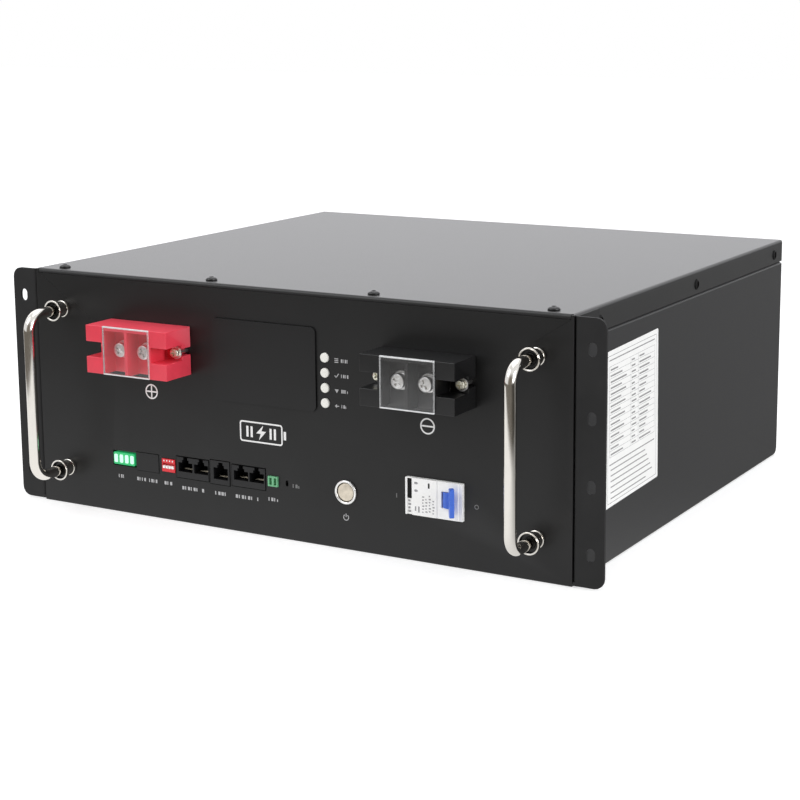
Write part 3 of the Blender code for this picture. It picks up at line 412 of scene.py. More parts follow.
def make_finishes():
    return {
        "powder": finish("powder_coat", (0.009, 0.009, 0.0092), 0.4, ior=1.41, mottle=0.1,
                         mottle_size=30 * MM, grain_size=0.55 * MM, grain_depth=0.006 * MM,
                         uneven=0.03, edge_wear_and_highlight=(0.025, 0.025, 0.026)),
        "lid": finish("lid_powder_coat", (0.008, 0.008, 0.0081), 0.34, ior=1.445, mottle=0.1,
                      mottle_size=30 * MM, grain_size=0.55 * MM, grain_depth=0.006 * MM, uneven=0.03,
                      edge_wear_and_highlight=(0.025, 0.025, 0.026)),
        # the ears' coat is the panel's black powder coat made rougher, with a lighter colour that is painted
        # light
        "ear": finish("ear_powder_coat_with_painted_light", (0.030, 0.030, 0.0305), 0.6, ior=1.2, mottle=0.1,
                      mottle_size=30 * MM, grain_size=0.55 * MM, grain_depth=0.006 * MM),
        "chrome": finish("chrome", (0.80, 0.77, 0.72), 0.1, 1.0, mottle=0.02, grain_size=1.2 * MM,
                         grain_depth=0.0006 * MM, uneven=0.03, stretch=(1, 1, 0.15)),
        "black_screw": finish("black_screw", (0.012, 0.012, 0.013), 0.3, mottle=0.15,
                              edge_wear_and_highlight=(0.05, 0.05, 0.05)),
        "dull_screw": finish("dull_black_screw", (0.005, 0.005, 0.005), 0.55, ior=1.25, mottle=0.15),
        "red": finish("red_plastic", (0.82, 0.05, 0.085), 0.34, grain_size=0.5 * MM,
                      grain_depth=0.006 * MM, mottle=0.05, edge_wear_and_highlight=(0.88, 0.16, 0.20)),
        "switch_red": finish("switch_plastic", (0.74, 0.028, 0.04), 0.34, grain_size=0.3 * MM, mottle=0.05),
        "black": finish("black_plastic", (0.008, 0.008, 0.0085), 0.3, ior=1.45, grain_size=0.35 * MM,
                        grain_depth=0.004 * MM, mottle=0.1, edge_wear_and_highlight=(0.03, 0.03, 0.031)),
        "socket": finish("socket_plastic", (0.008, 0.008, 0.009), 0.34, ior=1.42, grain_size=0.35 * MM,
                         grain_depth=0.004 * MM, mottle=0.1),
        "nickel": finish("nickel", (0.95, 0.94, 0.92), 0.32, 1.0, mottle=0.12, mottle_size=1.6 * MM,
                         grain_size=0.3 * MM, uneven=0.08),
        "zinc": finish("yellow_zinc", (0.93, 0.88, 0.74), 0.3, 1.0, mottle=0.16, mottle_size=2 * MM,
                       uneven=0.07),
        "white": finish("white_plastic", (1.0, 1.0, 0.985), 0.42, mottle=0.03, grain_size=0.3 * MM),
        "key": finish("key_plastic", (0.98, 0.965, 0.91), 0.4, mottle=0.03, grain_size=0.3 * MM),
        "warm": finish("warm_nickel", (0.72, 0.65, 0.54), 0.36, 1.0, mottle=0.14, mottle_size=3 * MM,
                       grain_size=0.12 * MM, uneven=0.08),
        "smoked": finish("smoked_lens", (0.009, 0.009, 0.0095), 0.38, ior=1.41, mottle=0.05,
                         mottle_size=30 * MM, grain_size=0.8 * MM, grain_depth=0.0002 * MM, uneven=0.01),
        "blue": finish("blue_plastic", (0.045, 0.14, 0.66), 0.36, mottle=0.05, grain_size=0.3 * MM,
                       edge_wear_and_highlight=(0.08, 0.24, 0.85)),
        "green": finish("green_plastic", (0.16, 0.46, 0.24), 0.4, grain_size=0.3 * MM),
        "led_case": lit("led_case", (0.02, 0.42, 0.14), (0.03, 0.7, 0.22), 0.24),
        "led_lens": lit("led_lens", (0.62, 0.92, 0.76), (0.45, 1.0, 0.7), 0.42),
        # gold darkened well below its own colour: painted shade of the contacts deep in their sockets
        "gold": finish("gold_contact_darkened_painted_shade", (0.30, 0.27, 0.21), 0.4, 1.0, mottle=0.2),
        "ink": finish("white_ink", (0.9, 0.9, 0.9), 0.5, mottle=0.08, mottle_size=0.7 * MM),
        "small_ink": finish("small_print_ink", (0.46, 0.46, 0.47), 0.5, mottle=0.2,
                            mottle_size=0.7 * MM),
        "faint_ink": finish("faint_print_ink", (0.19, 0.19, 0.19), 0.5, mottle=0.3, mottle_size=0.7 * MM),
        "strip": finish("strip_plastic", (0.012, 0.012, 0.012), 0.55, ior=1.2),
        "grey_ink": finish("grey_ink", (0.34, 0.34, 0.35), 0.5, mottle=0.2, mottle_size=0.9 * MM),
        "label_ink": finish("label_ink", (0.27, 0.27, 0.27), 0.5, mottle=0.2, mottle_size=0.9 * MM),
        "label": finish("label_paper", (0.93, 0.93, 0.92), 0.42, mottle=0.02, grain_size=0.25 * MM,
                        grain_depth=0.003 * MM),
        "board": finish("circuit_board", (0.015, 0.16, 0.06), 0.35, mottle=0.25, mottle_size=4 * MM),
        "aluminium": finish("aluminium", (0.68, 0.68, 0.69), 0.36, 1.0, grain_size=0.3 * MM,
                            stretch=(1, 1, 0.05), uneven=0.08),
        "copper": finish("copper", (0.72, 0.33, 0.18), 0.3, 1.0, mottle=0.15, mottle_size=5 * MM),
        "wrap": finish("cell_wrap", (0.03, 0.09, 0.30), 0.34, mottle=0.1, mottle_size=12 * MM),
        "clear": clear("clear_plastic", (0.99, 0.99, 0.99), 0.022, 1.36),
        "clear_leg": clear("clear_plastic_leg", (0.99, 0.99, 0.99), 0.0, 1.04),
        # the guards' side and rim bands: much milky white, a painted highlight along the edges
        "clear_side_painted_highlight": clear("clear_plastic_side_painted_highlight", (0.96, 0.965, 0.97), 0.3, 1.4),
        "clear_rim_painted_highlight": clear("clear_plastic_rim_painted_highlight", (0.94, 0.95, 0.96), 0.75, 1.45),
    }


F = make_finishes()


# Enclosure, ears and handles

def sheet_metal():
    keep("chassis", F["powder"], 0.15 * MM)
    keep("lid", F["lid"], 0.3 * MM)
    keep("front_panel", F["powder"], 0.3 * MM)
    for node in ("ear_left", "ear_right"):
        keep(node, F["ear"], 0.15 * MM, merge=True)


def handle_path(reach, span):
    """Centre line of the bar in its own frame: foot at the origin, pointing out along -Y."""
    bend = 12 * MM
    lower = arc((-reach + bend, bend), bend, 270, 180, 14)
    upper = arc((-reach + bend, span - bend), bend, 180, 90, 14)
    points = [(-GAP, 0)] + lower + upper + [(-GAP, span)]
    return [Vector((0, y, z)) for y, z in points]


def ferrule(bore):
    """A chrome cup on a plain sleeve; the cup's floor, where the bar goes in, has the black finish as painted
    shade of the deep recess.
    """
    rim = half_width("ferrule_left_lower") - 0.3 * MM
    mouth = proud("ferrule_left_lower")
    wall = 1.1 * MM
    floor = mouth - 2.6 * MM
    foot = 6.1 * MM
    neck = 5.7 * MM
    edge = 0.15 * MM
    lip = 0.45 * MM
    profile = [(bore, GAP), (foot, GAP), (foot, 2.8 * MM - edge), (foot - edge, 2.8 * MM), (neck, 2.9 * MM),
               (neck, 9.4 * MM), (neck + 0.4 * MM, 9.9 * MM)]
    profile += arc((rim - lip, floor - 0.1 * MM), lip, -60, 0, 4)
    profile += arc((rim - lip, mouth - lip), lip, 0, 110, 6)
    profile += [(rim - wall, mouth - 0.3 * MM), (rim - wall, floor), (bore, floor)]
    mesh = mesh_from(forward(turned(profile, 96, closed=True)), "ferrule")
    mesh.materials.append(F["chrome"])
    mesh.materials.append(F["black"])
    # faces on the floor of the cup take the black finish: painted shade of the deep recess
    for face in mesh.polygons:
        level = -face.center.y
        reach = math.hypot(face.center.x, face.center.z)
        inside = floor - 0.01 * MM < level < mouth - 0.9 * MM and reach < rim - 0.9 * wall
        face.material_index = 1 if inside else 0
    return mesh


def handles():
    radius = half_width("handle_left")
    low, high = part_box("handle_left")
    reach = FRONT - low.y - radius
    span = high.z - low.z - 2 * radius
    bar = mesh_from(swept(handle_path(reach, span), radius), "handle_bar")
    cup = ferrule(radius + GAP)
    for word in ("left", "right"):
        x = centre(f"handle_{word}").x
        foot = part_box(f"handle_{word}")[0].z + radius
        piece(f"grip_{word}", bar, F["chrome"], at=(x, FRONT, foot),
              stands_for=[f"handle_{word}"])
        for level in ("lower", "upper"):
            node = f"ferrule_{word}_{level}"
            piece(f"collar_{word}_{level}", cup, F["chrome"],
                  at=(x, FRONT, centre(node).z), stands_for=[node])


def domed_screw(name, head, rise, socket_r, socket_deep, socket_sides):
    """A screw along +Z whose head is a shallow dome with a driving socket."""
    seat = 0.2 * MM
    side = 0.25 * rise
    profile = [(0, -7 * MM), (1.8 * MM, -7 * MM), (1.8 * MM, seat), (head - 0.1 * MM, seat)]
    profile += [(head * math.cos(math.radians(a)), side + (rise - side) * math.sin(math.radians(a)))
                for a in range(0, 90, 9)]
    profile.append((0, rise))
    socket = prism(circle((0, 0), socket_r, socket_sides), rise - socket_deep, rise + 1 * MM, "z")
    return carved(name, turned(profile, 48), socket)


def lid_screws():
    """Domes with a hexagon socket on top, flatter heads with a round recess at the sides."""
    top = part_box("lid")[1].z
    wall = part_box("lid")[1].x
    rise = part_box("lid_screw_front_1")[1].z - top
    dome = domed_screw("dome_screw", half_width("lid_screw_front_1"), rise, 1.75 * MM, 1.5 * MM, 6)
    for i in (1, 2, 3, 4):
        node = f"lid_screw_front_{i}"
        spot = centre(node)
        piece(f"top_screw_{i}", dome, F["black_screw"], at=(spot.x, spot.y, top),
              stands_for=[node])
    low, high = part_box("lid_screw_right_1")
    flat = domed_screw("flat_screw", (high.z - low.z) / 2, high.x - wall, 2.4 * MM, 0.8 * MM, 32)
    quarter = math.radians(90)
    for word, side in (("left", -1), ("right", 1)):
        for i in (1, 2, 3):
            node = f"lid_screw_{word}_{i}"
            spot = centre(node)
            piece(f"side_screw_{word}_{i}", flat, F["dull_screw"],
                  at=(side * wall, spot.y, spot.z), turn=(0, side * quarter, 0), stands_for=[node])


# Terminals

def cross_recess(reach, width, low, high):
    return [box(-reach, reach, -width / 2, width / 2, low, high),
            box(-width / 2, width / 2, -reach, reach, low, high)]


def pan_screw(name, shank, foot, seat, steps, inner, outer):
    """A pan-head screw with a cross recess that points out of the panel; steps are the (radius, level)
    of its washers and its head, and everything below the head has the outer finish."""
    profile = [(0, foot), (shank, foot), (shank, seat)]
    base = seat
    soft = 0.15 * MM
    for radius, level in steps[:-1]:
        profile += [(radius - soft, base), (radius, base + soft), (radius, level - soft),
                    (radius - soft, level)]
        base = level
    head, top = steps[-1]
    crown = 0.9 * MM
    profile += [(head - soft, base), (head, base + soft)]
    profile += arc((head - crown, top - crown), crown, 0, 90, 6) + [(0, top)]
    cutters = cross_recess(head * 0.62, head * 0.3, top - 1.6 * MM, top + 1 * MM)
    mesh = carved(name, turned(profile, 48), *cutters)
    mesh.transform(Matrix.Rotation(math.radians(90), 4, "X"))
    mesh.materials.clear()
    mesh.materials.append(inner)
    mesh.materials.append(outer)
    for face in mesh.polygons:
        face.material_index = 1 if -face.center.y < base + 0.01 * MM else 0
    return mesh


def cover(word):
    """The clear guard: a thin plate with two clip legs, whose rim and sides are milky white, a painted
    highlight for the light along its edges.
    """
    node = f"cover_{word}"
    low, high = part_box(node)
    mid = (low + high) / 2
    front, back = low.y, low.y + 1.4 * MM
    left = low.x - mid.x + 1.5 * MM
    right = high.x - mid.x + 0.5 * MM
    rim = 1 * MM
    side = 0.6 * MM
    parts = [
        (0, box(left + side, right - side, front + 0.1 * MM, back, low.z + rim, high.z - rim)),
        (2, box(left, right, front, back, high.z - rim, high.z)),
        (2, box(left, right, front, back, low.z, low.z + 0.8 * rim)),
        (1, box(left, left + side, front, back, low.z + 0.8 * rim, high.z - rim)),
        (1, box(right - side, right, front, back, low.z + 0.8 * rim, high.z - rim)),
    ]
    rib = 2.4 * MM                  # the wall between the two bays of the block
    bay = 18.4 * MM
    outer = rib / 2 + bay - 0.5 * MM
    for way in (-1, 1):
        x0, x1 = sorted((way * outer, way * (outer - 1 * MM)))
        parts.append((3, box(x0, x1, back, high.y, mid.z - 4.5 * MM, mid.z + 4.5 * MM)))
    bm = bmesh.new()
    for index, part in parts:
        for face in part.faces:
            face.material_index = index
        mesh = mesh_from(part, "part")
        bm.from_mesh(mesh)
        bpy.data.meshes.remove(mesh)
    mesh = mesh_from(bm, node)
    for name in ("clear", "clear_side_painted_highlight", "clear_rim_painted_highlight", "clear_leg"):
        mesh.materials.append(F[name])
    piece(f"guard_{word}_plate", mesh, None, f"guard_{word}", at=(mid.x, 0, 0),
          edge=0.12 * MM, stands_for=[node])


def terminals():
    washer = half_width("terminal_screw_positive_left")
    top = proud("terminal_screw_positive_left")
    stud = pan_screw("stud", 2.7 * MM, 6 * MM, 16.3 * MM,
                     [(washer, 17.5 * MM), (4.6 * MM, 19.5 * MM), (5.2 * MM, top)], F["nickel"], F["nickel"])
    washer = half_width("block_screw_positive_left")
    top = proud("block_screw_positive_left")
    fixing = pan_screw("fixing", 1.9 * MM, -6 * MM, 10.5 * MM, [(washer, 11.5 * MM), (3.5 * MM, top)],
                       F["zinc"], F["nickel"])
    for word, mat in (("positive", "red"), ("negative", "black")):
        keep(f"terminal_{word}", F[mat], 0.45 * MM, 3)
        cover(word)
        for hand, turn in (("left", 0.5), ("right", 1.1)):
            node = f"terminal_screw_{word}_{hand}"
            spot = centre(node)
            piece(f"stud_{word}_{hand}", stud, None, at=(spot.x, FRONT, spot.z),
                  turn=(0, turn, 0), stands_for=[node])
            node = f"block_screw_{word}_{hand}"
            spot = centre(node)
            piece(f"fixing_{word}_{hand}", fixing, None, at=(spot.x, FRONT, spot.z),
                  turn=(0, turn + 0.4, 0), stands_for=[node])


# Display, keys and power button

def display():
    low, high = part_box("display_window")
    grow = 0.15 * MM
    outline = rounded(low.x - grow, high.x + grow, low.z - grow, high.z + grow, 3.7 * MM, 12)
    piece("display_lens", prism(outline, low.y, high.y), F["smoked"], edge=0.5 * MM,
          stands_for=["display_window"])


def menu_keys():
    radius = 3.3 * MM
    flange = half_width("button_menu_1")
    top = proud("button_menu_1")
    lip = 0.6 * MM
    profile = [(0, -5 * MM), (flange, -5 * MM), (flange, -4 * MM), (radius, -4 * MM)]
    profile += arc((radius - lip, top - lip - 0.15 * MM), lip, 0, 80, 6)
    profile += [(radius * 0.5, top - 0.03 * MM), (0, top)]
    key = mesh_from(forward(turned(profile, 64)), "menu_key")
    for i in (1, 2, 3, 4):
        node = f"button_menu_{i}"
        spot = centre(node)
        piece(f"menu_key_cap_{i}", key, F["key"], f"menu_key_{i}",
              at=(spot.x, FRONT, spot.z), stands_for=[node])


def power_button():
    radius = half_width("power_button_cap")
    rim = half_width("power_button_housing")
    spot = (centre("power_button_cap").x, FRONT, centre("power_button_cap").z)
    bore = radius + GAP
    barrel = 7.8 * MM
    soft = (rim - bore) / 2
    profile = [(0, -20 * MM), (barrel, -20 * MM), (barrel, GAP), (rim, GAP)]
    profile += arc((rim - soft, 2 * MM - soft), soft, 0, 180, 14)
    profile += [(bore, -9 * MM), (0, -9 * MM)]
    piece("power_bezel", forward(turned(profile, 96)), F["nickel"], at=spot,
          stands_for=["power_button_housing"])
    side = radius - 0.25 * MM
    profile = [(0, -6 * MM), (side, -6 * MM)]
    profile += arc((side - 0.4 * MM, 0.7 * MM), 0.4 * MM, 0, 90, 5)
    profile += [(0, 1.3 * MM)]
    piece("power_key_cap", forward(turned(profile, 96)), F["warm"], "power_key", at=spot,
          stands_for=["power_button_cap"])


# Circuit breaker

def joint_place(name):
    """World X and Z of a joint's axis, from the record."""
    joint = next(j for j in frame["record"]["behaviour"]["joints"] if j["name"] == name)
    return joint["pos_m"][0], joint["pos_m"][2]


def breaker():
    low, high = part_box("breaker_body")
    half = 21.5 * MM
    x = (low.x + high.x) / 2
    left, right = x - half, x + half
    shoulder = FRONT + 2.3 * MM
    face = ahead(3 * MM)
    frame_h = ahead(1.9 * MM)
    groove = ahead(2.2 * MM)
    ledge = ahead(2.3 * MM)
    split = left + 24 * MM
    step = ahead(2.7 * MM)
    outline = [(low.x, shoulder), (left, shoulder), (left, face), (left + 1.2 * MM, face),
               (left + 1.2 * MM, frame_h), (left + 4.4 * MM, frame_h), (left + 5.2 * MM, face),
               (split, face), (split, groove), (split + 0.3 * MM, groove),
               (split + 0.3 * MM, step), (right - 3.2 * MM, step), (right - 2.8 * MM, ledge),
               (right, ledge), (right, shoulder), (high.x, shoulder), (high.x, high.y), (low.x, high.y)]
    lever_x, lever_z = joint_place("breaker_switch")
    reach = 4.5 * MM
    well = box(lever_x - reach, lever_x + reach, ahead(4 * MM), FRONT + reach, lever_z - 5.6 * MM,
               lever_z + 5.6 * MM)
    body = carved("breaker", prism(outline, low.z, high.z, "z"), well)
    piece("breaker_case", body, F["white"], edge=0.12 * MM, stands_for=["breaker_body"])
    keep("breaker_toggle", F["blue"], 0.35 * MM, 3)
    strip = rounded(left + 1.3 * MM, left + 4.3 * MM, low.z + 11 * MM, high.z - 0.8 * MM, 0.3 * MM, 3)
    piece("breaker_strip", prism(strip, ahead(2.05 * MM), ahead(1.85 * MM)), F["strip"])
    window = rounded(left + 17.4 * MM, left + 18.7 * MM, low.z + 19.6 * MM, low.z + 23.2 * MM, 0.3 * MM, 3)
    piece("breaker_indicator", prism(window, ahead(3.06 * MM), ahead(2.96 * MM)), F["black"])
    marks = [rounded(left + 7 * MM, left + 9.6 * MM, low.z + z * MM, low.z + (z + 1.6) * MM, 0.6 * MM, 3)
             for z in (16.2, 21.4)]
    marks += [rectangle(left + 7.4 * MM, left + 8.4 * MM, low.z + 3 * MM, low.z + 6.2 * MM),
              rectangle(left + 9.8 * MM, left + 11 * MM, low.z + 2.2 * MM, low.z + 6.4 * MM)]
    for column, start in enumerate((13, 15.4, 18, 20.8)):
        for row in range(6 - column % 2):
            z = low.z + (2.4 + 2.1 * row + 0.5 * (column % 3)) * MM
            width = 0.9 + 0.35 * ((row + 2 * column) % 3)
            marks.append(rectangle(left + start * MM, left + (start + width) * MM, z, z + 0.9 * MM))
    ink = [prism(mark, face - INK, face + INK) for mark in marks]
    for row in range(4):
        z = low.z + (1.4 + 2.4 * row) * MM
        mark = rectangle(left + 1.7 * MM, left + (3.9 - 0.5 * (row % 2)) * MM, z, z + 1.4 * MM)
        ink.append(prism(mark, frame_h - INK, frame_h + INK))
    piece("breaker_print", gathered(ink), F["grey_ink"])


# Signal row

def signal_row():
    low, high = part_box("led_bar")
    gap = 0.2 * MM                  # the hole in the panel shows as a dark line round the bar
    case = rounded(low.x + gap, high.x - gap, low.z + gap, high.z - gap, 0.8 * MM, 4)
    piece("led_case", prism(case, low.y, high.y), F["led_case"], edge=0.2 * MM,
          stands_for=["led_bar"])
    pitch = (high.x - low.x) / 4
    lamps = []
    for i in range(4):
        x = low.x + (i + 0.5) * pitch
        outline = rounded(x - 1.6 * MM, x + 1.6 * MM, low.z + 1.6 * MM, high.z - 1.6 * MM, 1 * MM, 5)
        lamps.append(prism(outline, low.y - 0.2 * MM, low.y + 0.5 * MM))
    piece("led_lamps", gathered(lamps), F["led_lens"], edge=0.2 * MM)
    low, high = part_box("led_window")
    piece("led_pane", prism(rounded(low.x, high.x, low.z, high.z, 0.6 * MM, 4), low.y, high.y),
          F["smoked"], edge=0.2 * MM, stands_for=["led_window"])
    keep("dip_switch", F["switch_red"], 0.2 * MM)
    for i in (1, 2, 3, 4):
        keep(f"dip_lever_{i}", F["white"], 0.2 * MM)
    low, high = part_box("dip_switch")
    dots = []                       # a white mark above each lever
    for i in (1, 2, 3, 4):
        x = centre(f"dip_lever_{i}").x
        dots.append(rectangle(x - 0.45 * MM, x + 0.45 * MM, high.z - 1.9 * MM, high.z - 0.8 * MM))
    piece("dip_numbers", gathered([prism(dot, low.y - INK, low.y + INK) for dot in dots]), F["ink"])
    for node in ("port_can", "port_rs485", "port_link"):
        keep(node, F["socket"], 0.2 * MM)
    keep("dry_contact", F["green"], 0.25 * MM)
    keep("reset_button", F["black"])
    contacts()


def contacts():
    """Eight sprung wires on the floor of each modular socket, and the clamps of the dry contact."""
    wire = 0.4 * MM
    for opening in frame["record"]["physics"]["openings"]:
        if not opening["name"].startswith("socket"):
            continue
        (x0, y0, z0), (x1, y1, z1) = opening["box_m"]
        x = (x0 + x1) / 2
        bars = []
        for i in range(8):
            u = x + (i - 3.5) * 1.02 * MM
            side = [(ahead(-3.6 * MM), z0 + 0.5 * MM), (ahead(-10.6 * MM), z0 + 0.2 * MM),
                    (ahead(-10.6 * MM), z0 + 0.6 * MM), (ahead(-4.2 * MM), z0 + 1.3 * MM)]
            bars.append(prism(side, u - wire / 2, u + wire / 2, "x"))
        piece(f"contacts_{opening['name']}", gathered(bars), F["gold"])
    slot_w, slot_h = 1.8 * MM, 4.6 * MM
    middle = centre("dry_contact")
    clamps = [box(middle.x + u - slot_w / 2, middle.x + u + slot_w / 2, ahead(-2.2 * MM), ahead(-5.8 * MM),
                  middle.z - slot_h / 2, middle.z + slot_h / 2) for u in (-1.7 * MM, 2.1 * MM)]
    piece("dry_clamps", gathered(clamps), F["nickel"], edge=0.2 * MM)


# Print on the panel and on the side

def ring(middle, outer, inner, start=0, end=360):
    """A ring, or a part of one, as an outline and its holes."""
    if end - start == 360:
        return circle(middle, outer, 64), [circle(middle, inner, 64)]
    outline = arc(middle, outer, start, end, 32) + arc(middle, inner, end, start, 32)
    return outline, []


def dashes(x0, x1, z, height, pattern):
    """A row of short upright strokes that stands for small print."""
    marks = []
    step = (x1 - x0) / len(pattern)
    for i, kind in enumerate(pattern):
        left = x0 + i * step
        wide = step * (0.72 if kind == "m" else 0.34)
        if kind != " ":
            tall = height if kind != "s" else height * 0.7
            marks.append(rectangle(left, left + wide, z - height / 2, z - height / 2 + tall))
    return marks


def legends():
    line = 0.62 * MM
    bold = []                       # (outline, holes) of the symbols
    small = []                      # the same for the small print

    def add(*outlines):
        small.extend((outline, []) for outline in outlines)

    for node, plus in (("terminal_positive", True), ("terminal_negative", False)):
        bold += polarity(centre(node).x - 0.8 * MM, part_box(node)[0].z - 16.2 * MM, plus)
    keys = [centre(f"button_menu_{i}").z - 1.2 * MM for i in (1, 2, 3, 4)]
    x = centre("button_menu_1").x + 9.3 * MM
    for i in (-1, 0, 1):            # menu: three lines
        z = keys[0] + i * 1.2 * MM
        add(rectangle(x - 1.5 * MM, x + 1.5 * MM, z - line / 2, z + line / 2))
    z = keys[1]                     # confirm: a tick
    add(stroke((x - 1.5 * MM, z), (x - 0.3 * MM, z - 1.3 * MM), line),
        stroke((x - 0.5 * MM, z - 1.3 * MM), (x + 1.7 * MM, z + 1.5 * MM), line))
    z = keys[2]                     # down: a triangle
    add([(x - 1.6 * MM, z + 1.1 * MM), (x, z - 1.5 * MM), (x + 1.6 * MM, z + 1.1 * MM)][::-1])
    z = keys[3]                     # back: an arrow
    add([(x - 1.7 * MM, z), (x - 0.1 * MM, z - 1.4 * MM), (x - 0.1 * MM, z + 1.4 * MM)],
        rectangle(x - 0.1 * MM, x + 1.7 * MM, z - line / 2, z + line / 2))
    for z, pattern in zip(keys, ("m1m1", "1m1m", "mm1s", "1ms")):
        left = x + 3.6 * MM
        add(*dashes(left, left + 1.55 * len(pattern) * MM, z, 2.4 * MM, pattern))
    row = centre("dip_switch").z
    for node, shift, width, drop, pattern in (
            ("led_bar", -3.2, 6, 13.4, "1m1"), ("led_bar", 15.2, 8.6, 13.4, "m11m"),
            ("led_window", 4.7, 8, 13.4, "1m1m"), ("dip_switch", -0.7, 7.6, 13.4, "m1m"),
            ("port_can", 0.2, 20, 15, "m1m1m1 m"), ("port_rs485", 0.6, 11, 15, "1mm1"),
            ("port_link", -1.1, 21, 15, "m1m1m1 1"), ("dry_contact", 0.2, 9.5, 13.4, "1m1s")):
        x = centre(node).x + shift * MM
        add(*dashes(x - width / 2 * MM, x + width / 2 * MM, row - drop * MM, 2.5 * MM, pattern))
    x = centre("power_button_cap").x - 0.5 * MM
    z = centre("power_button_cap").z - 18 * MM      # power: an open ring with a bar
    small.append(ring((x, z), 2.3 * MM, 1.7 * MM, 125, 415))
    add(rectangle(x - line / 2, x + line / 2, z + 0.3 * MM, z + 2.7 * MM))
    x, z = joint_place("breaker_switch")            # off and on, either side of the breaker
    z -= 2.4 * MM
    faint = [(rectangle(x - 40.5 * MM, x - 39.9 * MM, z - 1.5 * MM, z + 1.5 * MM), []),
             ring((x + 20.5 * MM, z), 1.6 * MM, 1.1 * MM)]
    x = centre("reset_button").x + 8.3 * MM         # reset
    faint += [(mark, []) for mark in dashes(x - 3.5 * MM, x + 3.5 * MM, row - 1.4 * MM, 2.5 * MM, "1ms")]
    bold += battery_mark(-38 * MM, -2 * MM, 66.5 * MM, 81.5 * MM)
    for name, shapes, ink in (("panel_symbols", bold, "ink"), ("panel_print", small, "small_ink"),
                              ("panel_faint_print", faint, "faint_ink")):
        bm = gathered([prism(outline, ahead(INK), ahead(-INK), "y", holes) for outline, holes in shapes])
        piece(name, bm, F[ink])


def polarity(x, z, plus):
    """A ring with a plus or a minus that spans its inside."""
    outer, inner = 5.55 * MM, 4.5 * MM
    shapes = [ring((x, z), outer, inner)]
    half = 0.55 * MM
    if not plus:
        return shapes + [(rectangle(x - inner, x + inner, z - half, z + half), [])]
    arm = 4.4 * MM
    corners = [(-arm, -half), (-half, -half), (-half, -arm), (half, -arm), (half, -half), (arm, -half),
               (arm, half), (half, half), (half, arm), (-half, arm), (-half, half), (-arm, half)]
    return shapes + [([(x + u, z + v) for u, v in corners], [])]


def battery_mark(left, right, low, high):
    """A plain battery pictogram with a bolt in it."""
    wall = 1.1 * MM
    x, z = (left + right) / 2, (low + high) / 2
    shapes = [(rounded(left, right, low, high, 2.2 * MM), [
        rounded(left + wall, right - wall, low + wall, high - wall, 1.3 * MM)])]
    shapes.append((rectangle(right + 0.9 * MM, right + 2.9 * MM, z - 3 * MM, z + 3 * MM), []))
    shapes.append(([(x - 4.2 * MM, z - 0.7 * MM), (x - 0.3 * MM, z - 0.7 * MM), (x - 1.9 * MM, z - 5.4 * MM),
                    (x + 4.2 * MM, z + 1.2 * MM), (x + 0.3 * MM, z + 1.2 * MM), (x + 1.9 * MM, z + 5.4 * MM)],
                   []))
    for side in (-1, 1):
        for i in range(2):
            u = x + side * (8 + 3.6 * i) * MM
            shapes.append((rectangle(u - 0.9 * MM, u + 0.9 * MM, low + 3.6 * MM, high - 3.6 * MM), []))
    return shapes


def side_label():
    """A paper sticker on the right side with a plain table, a little out of square."""
    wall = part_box("chassis")[1].x
    width, height = 88.5 * MM, 106 * MM
    tilt = math.radians(1.6)
    spot = (wall, FRONT + 93.8 * MM, 92.3 * MM)
    paper = prism(rounded(-width / 2, width / 2, -height / 2, height / 2, 1.2 * MM, 5), 0, 0.15 * MM, "x")
    piece("side_label", paper, F["label"], at=spot, turn=(tilt, 0, 0))
    top = 0.15 * MM
    ink = []

    def mark(u0, u1, v0, v1):
        outline = rectangle(u0 * MM, u1 * MM, v0 * MM, v1 * MM)
        ink.append(prism(outline, top - 0.02 * MM, top + 0.02 * MM, "x"))

    for z in (49.4, -50.6):
        mark(-41, 41, z, z + 0.35)
    for u in (-41, 40.65):
        mark(u, u + 0.35, -50.6, 49.4)
    mark(-38, 38, 46.2, 47.0)
    rows = 15
    first, pitch = 40.5, 4.1
    for i in range(rows + 1):
        z = first - i * pitch
        mark(-38, 38, z + 1.9, z + 2.1)
    for u in (-38, -3, 9.5, 37.8):
        mark(u, u + 0.2, first - rows * pitch + 2, first + 2)
    for i in range(rows):
        z = first - i * pitch
        mark(-36, -36 + 12 + (i * 7) % 15, z - 1.0, z + 0.1)
        mark(-1.5, 3.5 + (i * 5) % 4, z - 1.0, z + 0.1)
        mark(11.5, 20 + (i * 11) % 13, z - 1.0, z + 0.1)
    mark(-38, 38, -24.6, -23.8)
    for i in range(6):
        mark(-36, 22 + (i * 17) % 14, -28.4 - i * 3.9, -27.6 - i * 3.9)
    piece("label_print", gathered(ink), F["label_ink"], at=spot, turn=(tilt, 0, 0))


# Inside the case

def inside():
    keep("interface_board", F["board"], 0.15 * MM)
    keep("bms_board", F["aluminium"], 0.3 * MM)
    for node in ("busbar_positive", "busbar_negative"):
        keep(node, F["copper"], 0.3 * MM)
    for node in ("cell_stack_left", "cell_stack_right"):
        keep(node, F["wrap"], 0.6 * MM)


# Studio

def lobe(tree, direction, axis, wide, tight):
    """1 in the middle of a soft patch of the surroundings, 0 outside it."""
    toward = tree.nodes.new("ShaderNodeVectorMath")
    toward.operation = "DOT_PRODUCT"
    toward.inputs[1].default_value = Vector(axis).normalized()
    tree.links.new(direction, toward.inputs[0])
    ramp = tree.nodes.new("ShaderNodeMapRange")
    ramp.interpolation_type = "SMOOTHSTEP"
    ramp.inputs["From Min"].default_value = math.cos(math.radians(wide))
    ramp.inputs["From Max"].default_value = math.cos(math.radians(tight))
    tree.links.new(toward.outputs["Value"], ramp.inputs["Value"])
    return ramp.outputs["Result"]


